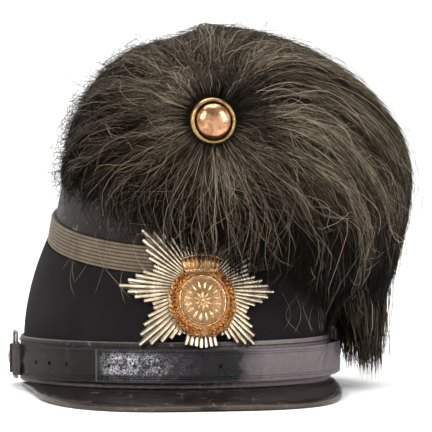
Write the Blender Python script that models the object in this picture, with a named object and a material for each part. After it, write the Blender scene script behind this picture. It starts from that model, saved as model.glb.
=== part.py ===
# Plumed shako with a ray star, as it rests on a flat surface on its peak and its rear rim.
# Sizes are millimetres in the hat's own frame: the rim's centre is the origin, the front is
# towards -Y, the wearer's left is +X and up is +Z. The last step stands the hat on the floor.

import math

import bmesh
import bpy
from mathutils import Vector

MM = 0.001
GAP = 0.3
RING_SIDES = 42

# Rings of the shell, from the rim up. Slope is how steeply a ring rises from front to back.
# half_width, front_y, back_y, height_at_sides, slope_in_degrees
CROWN_RINGS = (
    (81.1, -99.8, 99.8, 0.0, 0.0),
    (81.1, -99.6, 99.6, 24.0, 0.0),
    (79.9, -97.4, 97.5, 36.0, 2.4),
    (76.6, -94.8, 92.9, 51.0, 5.6),
    (72.4, -93.0, 87.7, 63.0, 8.2),
    (68.8, -91.9, 84.2, 71.1, 9.8),
    (64.8, -88.1, 80.4, 71.3, 9.8),
    (61.4, -83.7, 76.0, 86.2, 9.8),
    (58.5, -79.9, 72.2, 100.4, 9.8),
)
CROWN_INNER_ROWS = (0, 1, 3, 4, 6, 8)
CROWN_WALL = 2.6

BRAID_LOW_RING = (68.4, -91.9, 84.1, 71.5, 9.8)
BRAID_HIGH_RING = (65.9, -88.3, 80.6, 85.5, 9.8)
BRAID_RIBS = 8
BRAID_RIB_DEPTH = 0.7
BRAID_BACK_INSETS = (1.35, 2.25)

CAP_SKIRT_RINGS = (
    (66.6, -89.9, 82.2, 71.6, 9.8),
    (63.2, -85.5, 77.8, 86.2, 9.8),
    (60.6, -82.0, 74.4, 101.0, 9.8),
    (58.4, -79.4, 71.8, 104.8, 9.8),
    (55.4, -76.2, 68.8, 106.0, 9.8),
)
CAP_DECK_SUNK_RING = (49.0, -69.5, 62.2, 105.2, 9.8)
CAP_DECK_DISH = 0.4
CAP_WALL = 1.5
CAP_DECK_WALL = 2.0

BAND_HALF_WIDTH = 83.0
BAND_HALF_LENGTH = 101.8
BAND_HEIGHT = 23.5
BAND_WALL = 1.6
BAND_TOP_DRAW_IN = 0.3
BAND_EDGE_ROUND = 0.5

PEAK_HALF_WIDTH = 81.0
PEAK_START_Y = -16.0
PEAK_FRONT_Y = -141.5
PEAK_SQUARENESS = 3.1
PEAK_SLOPE = math.radians(8.4)
PEAK_WALL = 2.0
PEAK_TUCK = 1.3
PEAK_EDGE_ROUND = 0.6
PEAK_LEAST_REACH = 0.8
PEAK_CROWNING = 0.5
PEAK_COLUMNS = 30
PEAK_SHIFT_X = -2.2

STRAP_WALL = 1.4
STRAP_LOW = 3.2
STRAP_HEIGHT = 16.6
STRAP_FIRST_LIFT = 1.15
STRAP_SECOND_LIFT = STRAP_FIRST_LIFT + STRAP_WALL + GAP
STRAP_STEP = math.radians(6.0)
STRAP_TIP_TURN = math.radians(-76.5)
STRAP_TIP_LENGTH = 15.0
STRAP_TIP_HALF_HEIGHT = 0.8
STRAP_SQUARE_END_TURN = math.radians(-37.5)
STRAP_LEFT_END_TURN = math.radians(-54.0)
STRAP_RISE_FROM_TURN = math.radians(-39.5)
STRAP_RISE_TO_TURN = math.radians(-47.0)
STRAP_HOLE_RADIUS = 1.25
STRAP_HOLE_SPACING = 14.0
STRAP_HOLE_FIRST_TURN = math.radians(-66.0)
STRAP_HOLE_COUNT = 9
STRAP_HOLE_FLOOR = 0.12
STRAP_LONG_SETTLE = math.radians(-11.0)
STRAP_LEFT_SETTLE = math.radians(7.0)
STRAP_LEFT_NARROWER = 0.3
TAB_NARROWER = 0.8
TAB_SETTLE = math.radians(7.0)

LOOP_TURN = math.radians(88.0)
LOOP_WIRE = 1.8
LOOP_LENGTH = 14.0
LOOP_LOW = 0.7
LOOP_HEIGHT = 26.2
LOOP_CORNER = 2.0
FOLD_RADIUS = LOOP_WIRE / 2 + GAP + STRAP_WALL / 2
FOLD_STEPS = 6
LOOP_LIFT = STRAP_FIRST_LIFT + FOLD_RADIUS
FOLD_OUTER_LIFT = LOOP_LIFT + FOLD_RADIUS
STRAP_LEFT_RETURN_TURN = math.radians(-79.2)
TAB_END_TURN = math.radians(104.0)
STUD_TURN = math.radians(99.5)
STUD_HEAD_RADIUS = 4.4
STUD_SHANK_RADIUS = 1.3
STUD_HEAD_HEIGHT = 2.3
STUD_HOLE_RADIUS = 1.65
STUD_SIDES = 10
FITTINGS_ROOM = 6.6

STAR_CENTRE = Vector((0.0, -94.7, 49.7))
STAR_TURN = math.radians(-3.0)
STAR_LEAN = math.radians(15.0)
STAR_BEND_RADIUS = 72.0
STAR_RODS_PER_POINT = 7
STAR_HUB_RADIUS = 18.0
STAR_PLATE = 1.1
STAR_ROD_GAP_DEPTH = 1.6
STAR_ROD_END_SHARE = 0.30
STAR_ROD_RIDGE = 1.9
STAR_HUB_HEIGHT = 2.3
# Length of the middle rod of each point, going round from the wearer's left
STAR_POINT_LENGTHS = (39.0, 40.0, 39.0, 41.8, 40.4, 43.0, 30.2, 39.4)
STAR_VALLEY_LENGTH = 24.5
STAR_ROOM_BACK = -32.0

MEDAL_LIFT = 3.1
MEDAL_CENTRE_V = -6.6
MEDAL_HALF_WIDTH = 17.0
MEDAL_HALF_HEIGHT = 18.9
MEDAL_SIDES = 40
MEDAL_LEAF_DEPTH = 0.5
# share of the half width, height above the medal's back, and whether the row carries the leaves
MEDAL_SECTION = (
    (1.0, 0.0, False),
    (1.0, 0.9, False),
    (0.84, 2.7, True),
    (0.66, 1.0, False),
    (0.60, 1.9, False),
    (0.55, 1.1, False),
    (0.25, 1.9, False),
)
MEDAL_FIELD_HEIGHT = 2.1
CROWN_FIGURE_LOW = 8.3
CROWN_FIGURE_HIGH = 17.8
CROWN_FIGURE_WIDTH = 21.0
CROWN_FIGURE_LIFT = 2.6
CROWN_FIGURE_BACK = 0.25
CROWN_FIGURE_FOOT_SHARE = 0.8
CROWN_FIGURE_ARCH = 2.6
CROWN_FIGURE_NOTCH = 3.4

BUTTON_CENTRE = Vector((6.4, -93.0, 135.0))
BUTTON_AXIS = Vector((0.10, -0.99, 0.08)).normalized()
BUTTON_RIM_RADIUS = 12.0
BUTTON_HOLE_RADIUS = 9.6
BUTTON_RIM_HEIGHT = 3.6
BUTTON_DOME_HEIGHT = 7.4
BUTTON_SIDES = 20
BUTTON_POCKET_LENGTH = 40.0

PLUME_HEART = Vector((15.0, -20.0, 118.0))
PLUME_RIDGES = 19
PLUME_RIDGE_DEPTH = 2.2
PLUME_SWIRL = math.radians(16.0)
PLUME_BLEND = 9.0
PLUME_RING_ANGLES = (14, 27, 40, 53, 66, 79, 93, 107, 122, 140, 160)
# Masses of hair, whose union is the head of the plume.
# centre x, y, z, half-size x, y, z
PLUME_MASSES = (
    (0.8, -14.0, 122.0, 62.0, 79.0, 58.0),
    (36.0, -12.0, 125.0, 65.0, 72.0, 61.0),
    (66.0, -14.0, 105.0, 60.0, 64.0, 60.0),
    (4.0, -68.0, 134.0, 28.0, 24.0, 26.0),
    (-22.5, -44.0, 106.0, 40.0, 46.0, 26.0),
    (22.0, -66.0, 94.0, 48.0, 40.0, 32.0),
    (58.0, -38.0, 82.0, 41.0, 52.0, 45.0),
    (82.0, -14.0, 62.0, 25.0, 38.0, 44.0),
)
# Locks of the tail, each from its root over a middle point to its tip, with the root's radius.
# root x, y, z, middle x, y, z, tip x, y, z, root radius
TAIL_LOCKS = (
    (99.0, -20.0, 86.0, 105.0, -22.0, 50.0, 104.0, -34.0, -4.0, 9.5),
    (97.0, -6.0, 80.0, 105.0, -6.0, 42.0, 106.0, -8.0, 3.0, 9.0),
    (93.0, -32.0, 78.0, 97.5, -36.0, 42.0, 98.0, -44.0, -4.0, 9.0),
    (90.0, -18.0, 66.0, 96.0, -21.0, 36.0, 96.5, -26.0, -3.2, 9.0),
    (98.0, 4.0, 72.0, 104.0, 8.0, 42.0, 103.0, 8.0, 10.0, 8.0),
    (88.0, -40.0, 64.0, 93.0, -44.0, 40.0, 94.0, -50.0, 6.0, 7.5),
    (90.0, 8.0, 62.0, 96.0, 12.0, 34.0, 97.0, 10.0, -2.2, 8.0),
    (86.0, 20.0, 62.0, 91.5, 27.0, 32.0, 91.0, 26.0, -1.4, 8.0),
    (82.0, 32.0, 62.0, 87.0, 41.0, 36.0, 88.0, 40.0, 6.0, 7.0),
    (82.0, -48.0, 64.0, 87.0, -53.0, 46.0, 88.0, -57.0, 27.0, 7.0),
)
# Locks of the fringe over the crown: tip x, tip z, root radius.
FRINGE_LOCKS = (
    (-58.5, 95.0, 6.5),
    (-53.0, 91.0, 7.0),
    (-44.0, 85.0, 7.0),
    (-34.5, 83.0, 7.5),
    (-25.0, 79.0, 7.5),
    (-13.0, 76.5, 7.5),
    (-2.0, 71.0, 7.5),
    (9.0, 68.0, 7.5),
    (20.0, 62.0, 8.0),
    (31.0, 59.0, 8.0),
    (42.0, 52.0, 8.0),
    (53.0, 45.0, 8.0),
    (63.0, 41.0, 8.0),
    (72.0, 36.0, 7.5),
)
LOCK_SIDES = 5
LOCK_TIP_RADIUS = 0.9
HAIR_ROOM = 0.5
LOCK_STEPS = 5

# base colour, roughness, metallic
CLOTH = ((0.012, 0.013, 0.018), 0.95, 0.0)
LEATHER = ((0.020, 0.018, 0.018), 0.38, 0.0)
GREY_LEATHER = ((0.055, 0.048, 0.050), 0.60, 0.0)
BRAID = ((0.42, 0.37, 0.30), 0.65, 0.1)
STEEL = ((0.30, 0.25, 0.21), 0.40, 1.0)
SILVER = ((0.78, 0.74, 0.64), 0.30, 1.0)
GOLD = ((0.80, 0.42, 0.16), 0.34, 1.0)
BRASS = ((0.62, 0.48, 0.24), 0.35, 1.0)
COPPER = ((0.85, 0.46, 0.29), 0.22, 1.0)
HAIR = ((0.030, 0.024, 0.017), 0.75, 0.0)


# Shared helpers

def remove_old_objects():
    for old in list(bpy.data.objects):
        bpy.data.objects.remove(old, do_unlink=True)


def make_material(name, look):
    colour, roughness, metallic = look
    material = bpy.data.materials.new(name)
    material.use_nodes = True
    shader = material.node_tree.nodes["Principled BSDF"]
    shader.inputs["Base Color"].default_value = (*colour, 1.0)
    shader.inputs["Roughness"].default_value = roughness
    shader.inputs["Metallic"].default_value = metallic
    material.diffuse_color = (*colour, 1.0)
    return material


def make_object(name, shape, look, stand, sharp_angle=35.0):
    bmesh.ops.recalc_face_normals(shape, faces=shape.faces)
    bmesh.ops.scale(shape, vec=(MM, MM, MM), verts=shape.verts)
    mesh = bpy.data.meshes.new(name)
    shape.to_mesh(mesh)
    shape.free()
    mesh.shade_smooth()
    mesh.set_sharp_from_angle(angle=math.radians(sharp_angle))
    piece = bpy.data.objects.new(name, mesh)
    piece.data.materials.append(make_material(name, look))
    bpy.context.collection.objects.link(piece)
    piece.parent = stand
    return piece


def make_cutter(name, shape, stand):
    cutter = make_object(name, shape, HAIR, stand)
    cutter.hide_render = True
    cutter.display_type = 'WIRE'
    return cutter


def add_boolean(piece, other, operation):
    modifier = piece.modifiers.new(f"{operation.lower()} {other.name}", 'BOOLEAN')
    modifier.operation = operation
    modifier.solver = 'EXACT'
    modifier.object = other


def smooth_step(share):
    share = min(1.0, max(0.0, share))
    return share * share * (3.0 - 2.0 * share)


def mix_rings(low, high, share):
    return tuple(a + (b - a) * share for a, b in zip(low, high))


def inset_ring(ring, inset, drop=0.0):
    half_width, front, back, height, slope = ring
    return (half_width - inset, front + inset, back - inset, height - drop, slope)


def ring_point(ring, turn):
    half_width, front, back, height, slope = ring
    middle = (front + back) / 2
    reach = -(back - front) / 2 * math.cos(turn)
    rise = math.tan(math.radians(slope)) * reach
    return Vector((half_width * math.sin(turn), middle + reach, height + rise))


def add_loop(shape, points):
    return [shape.verts.new(point) for point in points]


def bridge(shape, loop, next_loop, closed=True):
    count = len(loop)
    last = count if closed else count - 1
    for i in range(last):
        j = (i + 1) % count
        shape.faces.new((loop[i], loop[j], next_loop[j], next_loop[i]))


def add_ring(shape, ring):
    turns = [math.tau * i / RING_SIDES for i in range(RING_SIDES)]
    return add_loop(shape, [ring_point(ring, turn) for turn in turns])


def ring_wall(rings):
    # The rings run up one face of the wall and down the other, and the last meets the first.
    shape = bmesh.new()
    loops = [add_ring(shape, ring) for ring in rings]
    for i in range(len(loops)):
        bridge(shape, loops[i], loops[(i + 1) % len(loops)])
    return shape


def add_tube(shape, points, radii, sides, closed=False, flatten=1.0):
    # A tube along the points; its section is flattened away from the axis it leans on.
    count = len(points)
    loops = []
    side_axis = None
    for i, point in enumerate(points):
        before = points[(i - 1) % count] if closed or i > 0 else point
        after = points[(i + 1) % count] if closed or i < count - 1 else point
        along = (after - before).normalized()
        if side_axis is None:
            side_axis = along.orthogonal().normalized()
        side_axis = (side_axis - along * side_axis.dot(along)).normalized()
        other_axis = along.cross(side_axis)
        ring = []
        for k in range(sides):
            angle = math.tau * (k + 0.5) / sides
            offset = side_axis * math.cos(angle) + other_axis * math.sin(angle) * flatten
            ring.append(point + offset * radii[i])
        loops.append(add_loop(shape, ring))
    for i in range(count - 1):
        bridge(shape, loops[i], loops[i + 1])
    if closed:
        bridge(shape, loops[-1], loops[0])
    else:
        shape.faces.new(loops[0])
        shape.faces.new(loops[-1])


def turned_shape(profile, centre, axis, sides):
    # Radius and height pairs turned about an axis; a radius of zero closes the shape there.
    turn_to_axis = axis.to_track_quat('Z', 'Y')
    shape = bmesh.new()
    loops = []
    for radius, height in profile:
        if radius == 0.0:
            loops.append([shape.verts.new(centre + turn_to_axis @ Vector((0, 0, height)))])
            continue
        points = []
        for k in range(sides):
            angle = math.tau * k / sides
            flat = Vector((radius * math.cos(angle), radius * math.sin(angle), height))
            points.append(centre + turn_to_axis @ flat)
        loops.append(add_loop(shape, points))
    open_profile = profile[0][0] == 0.0
    pairs = len(loops) - 1 if open_profile else len(loops)
    for i in range(pairs):
        loop, next_loop = loops[i], loops[(i + 1) % len(loops)]
        if len(loop) > 1 and len(next_loop) > 1:
            bridge(shape, loop, next_loop)
            continue
        tip, ring = (loop[0], next_loop) if len(loop) == 1 else (next_loop[0], loop)
        for k in range(sides):
            shape.faces.new((tip, ring[k], ring[(k + 1) % sides]))
    return shape


# Shell

def make_crown_body(stand):
    outer = list(CROWN_RINGS)
    inner = [inset_ring(CROWN_RINGS[row], CROWN_WALL) for row in reversed(CROWN_INNER_ROWS)]
    return make_object("crown_body", ring_wall(outer + inner), CLOTH, stand)


def make_braid_band(stand):
    outer = []
    for rib in range(BRAID_RIBS):
        groove = mix_rings(BRAID_LOW_RING, BRAID_HIGH_RING, rib / BRAID_RIBS)
        ridge = mix_rings(BRAID_LOW_RING, BRAID_HIGH_RING, (rib + 0.5) / BRAID_RIBS)
        outer.append(inset_ring(groove, BRAID_RIB_DEPTH))
        outer.append(ridge)
    outer.append(inset_ring(BRAID_HIGH_RING, BRAID_RIB_DEPTH))
    inner = [inset_ring(BRAID_HIGH_RING, BRAID_BACK_INSETS[1])]
    inner.append(inset_ring(BRAID_LOW_RING, BRAID_BACK_INSETS[0]))
    return make_object("braid_band", ring_wall(outer + inner), BRAID, stand, 20.0)


def make_top_cap(stand):
    shape = bmesh.new()
    outer = [add_ring(shape, ring) for ring in CAP_SKIRT_RINGS]
    outer.append(add_ring(shape, CAP_DECK_SUNK_RING))
    inner_rings = [inset_ring(ring, CAP_WALL) for ring in CAP_SKIRT_RINGS[:3]]
    inner_rings.append(inset_ring(CAP_SKIRT_RINGS[4], 0.0, CAP_DECK_WALL))
    inner = [add_ring(shape, ring) for ring in inner_rings]
    for low, high in zip(outer, outer[1:]):
        bridge(shape, low, high)
    for low, high in zip(inner, inner[1:]):
        bridge(shape, low, high)
    bridge(shape, outer[0], inner[0])
    for rim in (outer[-1], inner[-1]):
        centre = sum((vertex.co for vertex in rim), Vector()) / RING_SIDES
        middle = shape.verts.new(centre - Vector((0, 0, CAP_DECK_DISH)))
        for i in range(RING_SIDES):
            shape.faces.new((rim[i], rim[(i + 1) % RING_SIDES], middle))
    return make_object("top_cap", shape, LEATHER, stand)


def make_base_band(stand):
    low = (BAND_HALF_WIDTH, -BAND_HALF_LENGTH, BAND_HALF_LENGTH, 0.0, 0.0)
    high = inset_ring(low, BAND_TOP_DRAW_IN, -BAND_HEIGHT)
    outer = [inset_ring(low, BAND_EDGE_ROUND), inset_ring(low, 0.0, -BAND_EDGE_ROUND)]
    outer += [inset_ring(high, 0.0, BAND_EDGE_ROUND), inset_ring(high, BAND_EDGE_ROUND)]
    inner = [inset_ring(high, BAND_WALL - BAND_TOP_DRAW_IN), inset_ring(low, BAND_WALL)]
    return make_object("base_band", ring_wall(outer + inner), GREY_LEATHER, stand)


# Peak

def band_point(turn, lift):
    # A point at a height of zero outside the base band, and the direction away from the band.
    away = Vector((math.sin(turn) / BAND_HALF_WIDTH, -math.cos(turn) / BAND_HALF_LENGTH, 0.0))
    away.normalize()
    on_band = Vector((BAND_HALF_WIDTH * math.sin(turn), -BAND_HALF_LENGTH * math.cos(turn), 0.0))
    return on_band + away * lift, away


def peak_drop(point):
    steps = [math.radians(k) for k in range(-90, 91, 2)]
    nearest = min((band_point(turn, 0.0)[0] - point).length for turn in steps)
    return nearest * math.tan(PEAK_SLOPE)


def make_peak(stand):
    end_turn = math.acos(-PEAK_START_Y / BAND_HALF_LENGTH)
    power = 2.0 / PEAK_SQUARENESS
    shape = bmesh.new()
    rows = []
    for column in range(PEAK_COLUMNS + 1):
        share = 2.0 * column / PEAK_COLUMNS - 1.0
        around = share * math.pi / 2
        width = PEAK_HALF_WIDTH * math.copysign(abs(math.sin(around)) ** power, share)
        reach = (PEAK_START_Y - PEAK_FRONT_Y) * abs(math.cos(around)) ** power
        ends = max(0.0, abs(share) - 0.8) * 5.0
        tip = Vector((width + PEAK_SHIFT_X * (1.0 - ends), PEAK_START_Y - reach, 0.0))
        tuck, away = band_point(share * end_turn, -PEAK_TUCK)
        seam = band_point(share * end_turn, 0.6)[0]
        if (tip - seam).dot(away) < PEAK_LEAST_REACH:
            tip = seam + away * PEAK_LEAST_REACH
        tip.z = -peak_drop(tip)
        middle = seam.lerp(Vector((tip.x, tip.y, 0.0)), 0.5)
        middle.z = -peak_drop(middle) + PEAK_CROWNING * smooth_step((tip - seam).length / 30.0)
        edge = (tip - seam).normalized() * PEAK_EDGE_ROUND
        top = [tuck, seam, middle, tip]
        low = [point - Vector((0, 0, PEAK_WALL)) for point in top]
        round_edge = tip + edge - Vector((0, 0, PEAK_WALL / 2))
        section = top + [round_edge] + low[::-1]
        drop = Vector((0, 0, GAP))
        rows.append(add_loop(shape, [point - drop for point in section]))
    for row, next_row in zip(rows, rows[1:]):
        bridge(shape, row, next_row)
    shape.faces.new(rows[0])
    shape.faces.new(rows[-1])
    return make_object("peak", shape, LEATHER, stand, 50.0)


# Chin strap and its fittings

def loop_bar(side, end):
    # Middle of a loop's bar: end is -1 for the front bar and 1 for the rear bar.
    middle, away = band_point(side * LOOP_TURN, LOOP_LIFT)
    backwards = Vector((-away.y, away.x, 0.0)) * side
    return middle + backwards * end * (LOOP_LENGTH - LOOP_WIRE) / 2, away, backwards


def layer_path(turn_from, turn_to, lift_of):
    # Middle line of one strap layer: points with the direction away from the band.
    count = max(2, round(abs(turn_to - turn_from) / STRAP_STEP))
    path = []
    for i in range(count + 1):
        turn = turn_from + (turn_to - turn_from) * i / count
        path.append(band_point(turn, lift_of(turn)))
    return path


def fold_path(side, end):
    # Half a turn round a loop's bar, from the band's side of it to the far side.
    bar, away, backwards = loop_bar(side, end)
    apex = backwards * -end
    path = []
    for step in range(1, FOLD_STEPS):
        angle = math.pi * step / FOLD_STEPS
        out = away * -math.cos(angle) + apex * math.sin(angle)
        path.append((bar + out * FOLD_RADIUS, out))
    return path


def ribbon(path, half_heights):
    # The path's out directions all point to the same face of the ribbon.
    middle = Vector((0, 0, STRAP_LOW + STRAP_HEIGHT / 2))
    shape = bmesh.new()
    rows = []
    for (point, out), half in zip(path, half_heights):
        up = Vector((0, 0, half))
        near = middle + point - out * STRAP_WALL / 2
        far = middle + point + out * STRAP_WALL / 2
        rows.append(add_loop(shape, [near - up, near + up, far + up, far - up]))
    for row, next_row in zip(rows, rows[1:]):
        bridge(shape, row, next_row)
    shape.faces.new(rows[0])
    shape.faces.new(rows[-1])
    return shape


def turned_over(path):
    # The layer under a fold shows the strap's other face to the band.
    return [(point, -away) for point, away in path]


def bar_turn(side, end):
    bar = loop_bar(side, end)[0]
    return math.atan2(bar.x / BAND_HALF_WIDTH, -bar.y / BAND_HALF_LENGTH)


def long_under_lift(turn):
    share = (turn - STRAP_RISE_FROM_TURN) / (STRAP_RISE_TO_TURN - STRAP_RISE_FROM_TURN)
    return STRAP_FIRST_LIFT + (STRAP_SECOND_LIFT - STRAP_FIRST_LIFT) * smooth_step(share)


def returning_lift(side, end, settle_turn):
    # A folded layer leaves the bar high and settles on the layer below it.
    start = bar_turn(side, end)

    def lift_of(turn):
        share = (turn - start) / settle_turn
        return FOLD_OUTER_LIFT + (STRAP_SECOND_LIFT - FOLD_OUTER_LIFT) * smooth_step(share)

    return lift_of


def punch_holes(stand):
    shape = bmesh.new()
    middle = STRAP_LOW + STRAP_HEIGHT / 2
    turn = STRAP_HOLE_FIRST_TURN
    for _ in range(STRAP_HOLE_COUNT):
        lift = STRAP_FIRST_LIFT
        if turn < STRAP_RISE_FROM_TURN or turn > STRAP_SQUARE_END_TURN:
            lift = STRAP_SECOND_LIFT
        centre, away = band_point(turn, lift)
        centre.z = middle
        ends = [centre - away * (STRAP_WALL / 2 + STRAP_HOLE_FLOOR), centre + away * 3.0]
        add_tube(shape, ends, [STRAP_HOLE_RADIUS] * 2, 6)
        speed = math.hypot(BAND_HALF_WIDTH * math.cos(turn), BAND_HALF_LENGTH * math.sin(turn))
        turn += STRAP_HOLE_SPACING / speed
    return make_cutter("strap_hole_punch", shape, stand)


def make_strap_long(stand):
    bar = bar_turn(1, -1)
    under = layer_path(STRAP_TIP_TURN, bar, long_under_lift)
    over = layer_path(bar, STRAP_SQUARE_END_TURN, returning_lift(1, -1, STRAP_LONG_SETTLE))
    path = turned_over(under) + fold_path(1, -1) + over
    widening = (STRAP_HEIGHT / 2 - STRAP_TIP_HALF_HEIGHT) / STRAP_TIP_LENGTH
    halves = []
    run = 0.0
    for i, (point, _) in enumerate(path):
        if i > 0:
            run += (point - path[i - 1][0]).length
        halves.append(min(STRAP_HEIGHT / 2, STRAP_TIP_HALF_HEIGHT + run * widening))
    strap = make_object("strap_long", ribbon(path, halves), LEATHER, stand, 40.0)
    add_boolean(strap, punch_holes(stand), 'DIFFERENCE')
    return strap


def make_strap_left(stand):
    bar = bar_turn(-1, -1)
    under = layer_path(STRAP_LEFT_END_TURN, bar, lambda turn: STRAP_FIRST_LIFT)
    over = layer_path(bar, STRAP_LEFT_RETURN_TURN, returning_lift(-1, -1, STRAP_LEFT_SETTLE))
    path = turned_over(under) + fold_path(-1, -1) + over
    halves = [STRAP_HEIGHT / 2 - STRAP_LEFT_NARROWER] * len(path)
    return make_object("strap_left", ribbon(path, halves), GREY_LEATHER, stand, 40.0)


def make_side_loop(stand, side, name):
    middle, _, backwards = loop_bar(side, 0)
    half_length = (LOOP_LENGTH - LOOP_WIRE) / 2
    half_height = (LOOP_HEIGHT - LOOP_WIRE) / 2
    centre = middle + Vector((0, 0, LOOP_LOW + LOOP_HEIGHT / 2))
    points = []
    for corner in range(4):
        sign_u = (1, -1, -1, 1)[corner]
        sign_v = (1, 1, -1, -1)[corner]
        for step in range(4):
            angle = math.radians(90.0 * corner + 30.0 * step)
            u = sign_u * (half_length - LOOP_CORNER) + LOOP_CORNER * math.cos(angle)
            v = sign_v * (half_height - LOOP_CORNER) + LOOP_CORNER * math.sin(angle)
            points.append(centre + backwards * u + Vector((0, 0, v)))
    shape = bmesh.new()
    add_tube(shape, points, [LOOP_WIRE / 2] * len(points), 5, closed=True)
    return make_object(name, shape, STEEL, stand, 50.0)


def make_tab(stand, side, name, punch):
    bar = bar_turn(side, 1)
    under = layer_path(side * TAB_END_TURN, bar, lambda turn: STRAP_FIRST_LIFT)
    over = layer_path(bar, side * TAB_END_TURN, returning_lift(side, 1, side * TAB_SETTLE))
    path = turned_over(under) + fold_path(side, 1) + over
    halves = [STRAP_HEIGHT / 2 - TAB_NARROWER] * len(path)
    tab = make_object(name, ribbon(path, halves), GREY_LEATHER, stand, 40.0)
    add_boolean(tab, punch, 'DIFFERENCE')
    return tab


def make_tab_stud(stand, side, name):
    foot, away = band_point(side * STUD_TURN, GAP + 0.1)
    foot.z = STRAP_LOW + STRAP_HEIGHT / 2
    head_low = STRAP_SECOND_LIFT + STRAP_WALL / 2 + 0.1
    profile = (
        (0.0, 0.0),
        (STUD_SHANK_RADIUS, 0.0),
        (STUD_SHANK_RADIUS, head_low),
        (STUD_HEAD_RADIUS, head_low),
        (STUD_HEAD_RADIUS * 0.86, head_low + STUD_HEAD_HEIGHT * 0.5),
        (STUD_HEAD_RADIUS * 0.5, head_low + STUD_HEAD_HEIGHT * 0.87),
        (0.0, head_low + STUD_HEAD_HEIGHT),
    )
    return make_object(name, turned_shape(profile, foot, away, STUD_SIDES), BRASS, stand)


def make_stud_punch(stand, side, name):
    foot, away = band_point(side * STUD_TURN, 0.0)
    foot.z = STRAP_LOW + STRAP_HEIGHT / 2
    shape = bmesh.new()
    add_tube(shape, [foot, foot + away * 8.0], [STUD_HOLE_RADIUS] * 2, 8)
    return make_cutter(name, shape, stand)


# Star and medallion

def star_place(u, v, lift):
    # u runs to the wearer's left, v up the leaning front and lift away from the crown.
    up = Vector((0.0, math.sin(STAR_LEAN), math.cos(STAR_LEAN)))
    away = Vector((0.0, -math.cos(STAR_LEAN), math.sin(STAR_LEAN)))
    bend = u * u / (2.0 * STAR_BEND_RADIUS)
    return STAR_CENTRE + Vector((u, bend, 0.0)) + up * v + away * lift


def rod_length(rod):
    per_point = STAR_RODS_PER_POINT
    point = (rod + per_point // 2) // per_point % len(STAR_POINT_LENGTHS)
    offset = abs((rod + per_point // 2) % per_point - per_point // 2)
    longest = STAR_POINT_LENGTHS[point]
    return longest - (longest - STAR_VALLEY_LENGTH) * offset / (per_point / 2)


def make_star(stand):
    rods = STAR_RODS_PER_POINT * len(STAR_POINT_LENGTHS)
    step = math.tau / rods
    shape = bmesh.new()

    def place(radius, angle, lift):
        return shape.verts.new(star_place(radius * math.cos(angle), radius * math.sin(angle), lift))

    hub_top, hub_low = place(0.0, 0.0, STAR_HUB_HEIGHT), place(0.0, 0.0, 0.0)
    rows = []
    for rod in range(rods):
        angle = STAR_TURN + rod * step
        length = rod_length(rod)
        valley = min(length, rod_length((rod + 1) % rods)) - STAR_ROD_GAP_DEPTH
        half = STAR_ROD_END_SHARE * step * STAR_VALLEY_LENGTH / length
        rows.append({
            "hub": place(STAR_HUB_RADIUS, angle + step / 2, STAR_HUB_HEIGHT),
            "hub_low": place(STAR_HUB_RADIUS, angle + step / 2, 0.0),
            "ridge": place(length, angle, STAR_ROD_RIDGE),
            "left": place(length, angle - half, STAR_PLATE),
            "right": place(length, angle + half, STAR_PLATE),
            "valley": place(valley, angle + step / 2, STAR_PLATE),
            "left_low": place(length, angle - half, 0.0),
            "right_low": place(length, angle + half, 0.0),
            "valley_low": place(valley, angle + step / 2, 0.0),
        })
    for i, rod in enumerate(rows):
        before = rows[i - 1]
        after = rows[(i + 1) % rods]
        faces = (
            (rod["hub"], rod["ridge"], rod["right"], rod["valley"]),
            (before["hub"], before["valley"], rod["left"], rod["ridge"]),
            (before["hub"], rod["ridge"], rod["hub"]),
            (before["hub"], rod["hub"], hub_top),
            (rod["left"], rod["left_low"], rod["right_low"], rod["right"], rod["ridge"]),
            (rod["right"], rod["right_low"], rod["valley_low"], rod["valley"]),
            (rod["valley"], rod["valley_low"], after["left_low"], after["left"]),
            (rod["left_low"], before["valley_low"], before["hub_low"]),
            (rod["right_low"], rod["left_low"], before["hub_low"], rod["hub_low"]),
            (rod["valley_low"], rod["right_low"], rod["hub_low"]),
            (rod["hub_low"], before["hub_low"], hub_low),
        )
        for face in faces:
            shape.faces.new(face)
    bmesh.ops.triangulate(shape, faces=shape.faces)
    return make_object("star", shape, SILVER, stand, 12.0)


def crown_figure():
    # A plain open crown of five points, a little wider at the top.
    shape = bmesh.new()
    half = CROWN_FIGURE_WIDTH / 2
    foot = half * CROWN_FIGURE_FOOT_SHARE
    outline = [(-foot, CROWN_FIGURE_LOW), (foot, CROWN_FIGURE_LOW)]
    for k in range(9):
        share = 1.0 - k / 4.0
        high = CROWN_FIGURE_HIGH - CROWN_FIGURE_ARCH * share * share
        if k % 2 == 1:
            high -= CROWN_FIGURE_NOTCH
        outline.append((half * share, high))
    loops = []
    for lift in (MEDAL_LIFT + CROWN_FIGURE_BACK, MEDAL_LIFT + CROWN_FIGURE_LIFT):
        loops.append(add_loop(shape, [star_place(u, v, lift) for u, v in outline]))
    bridge(shape, loops[0], loops[1])
    shape.faces.new(loops[0])
    shape.faces.new(loops[1])
    bmesh.ops.triangulate(shape, faces=shape.faces)
    return shape


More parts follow.
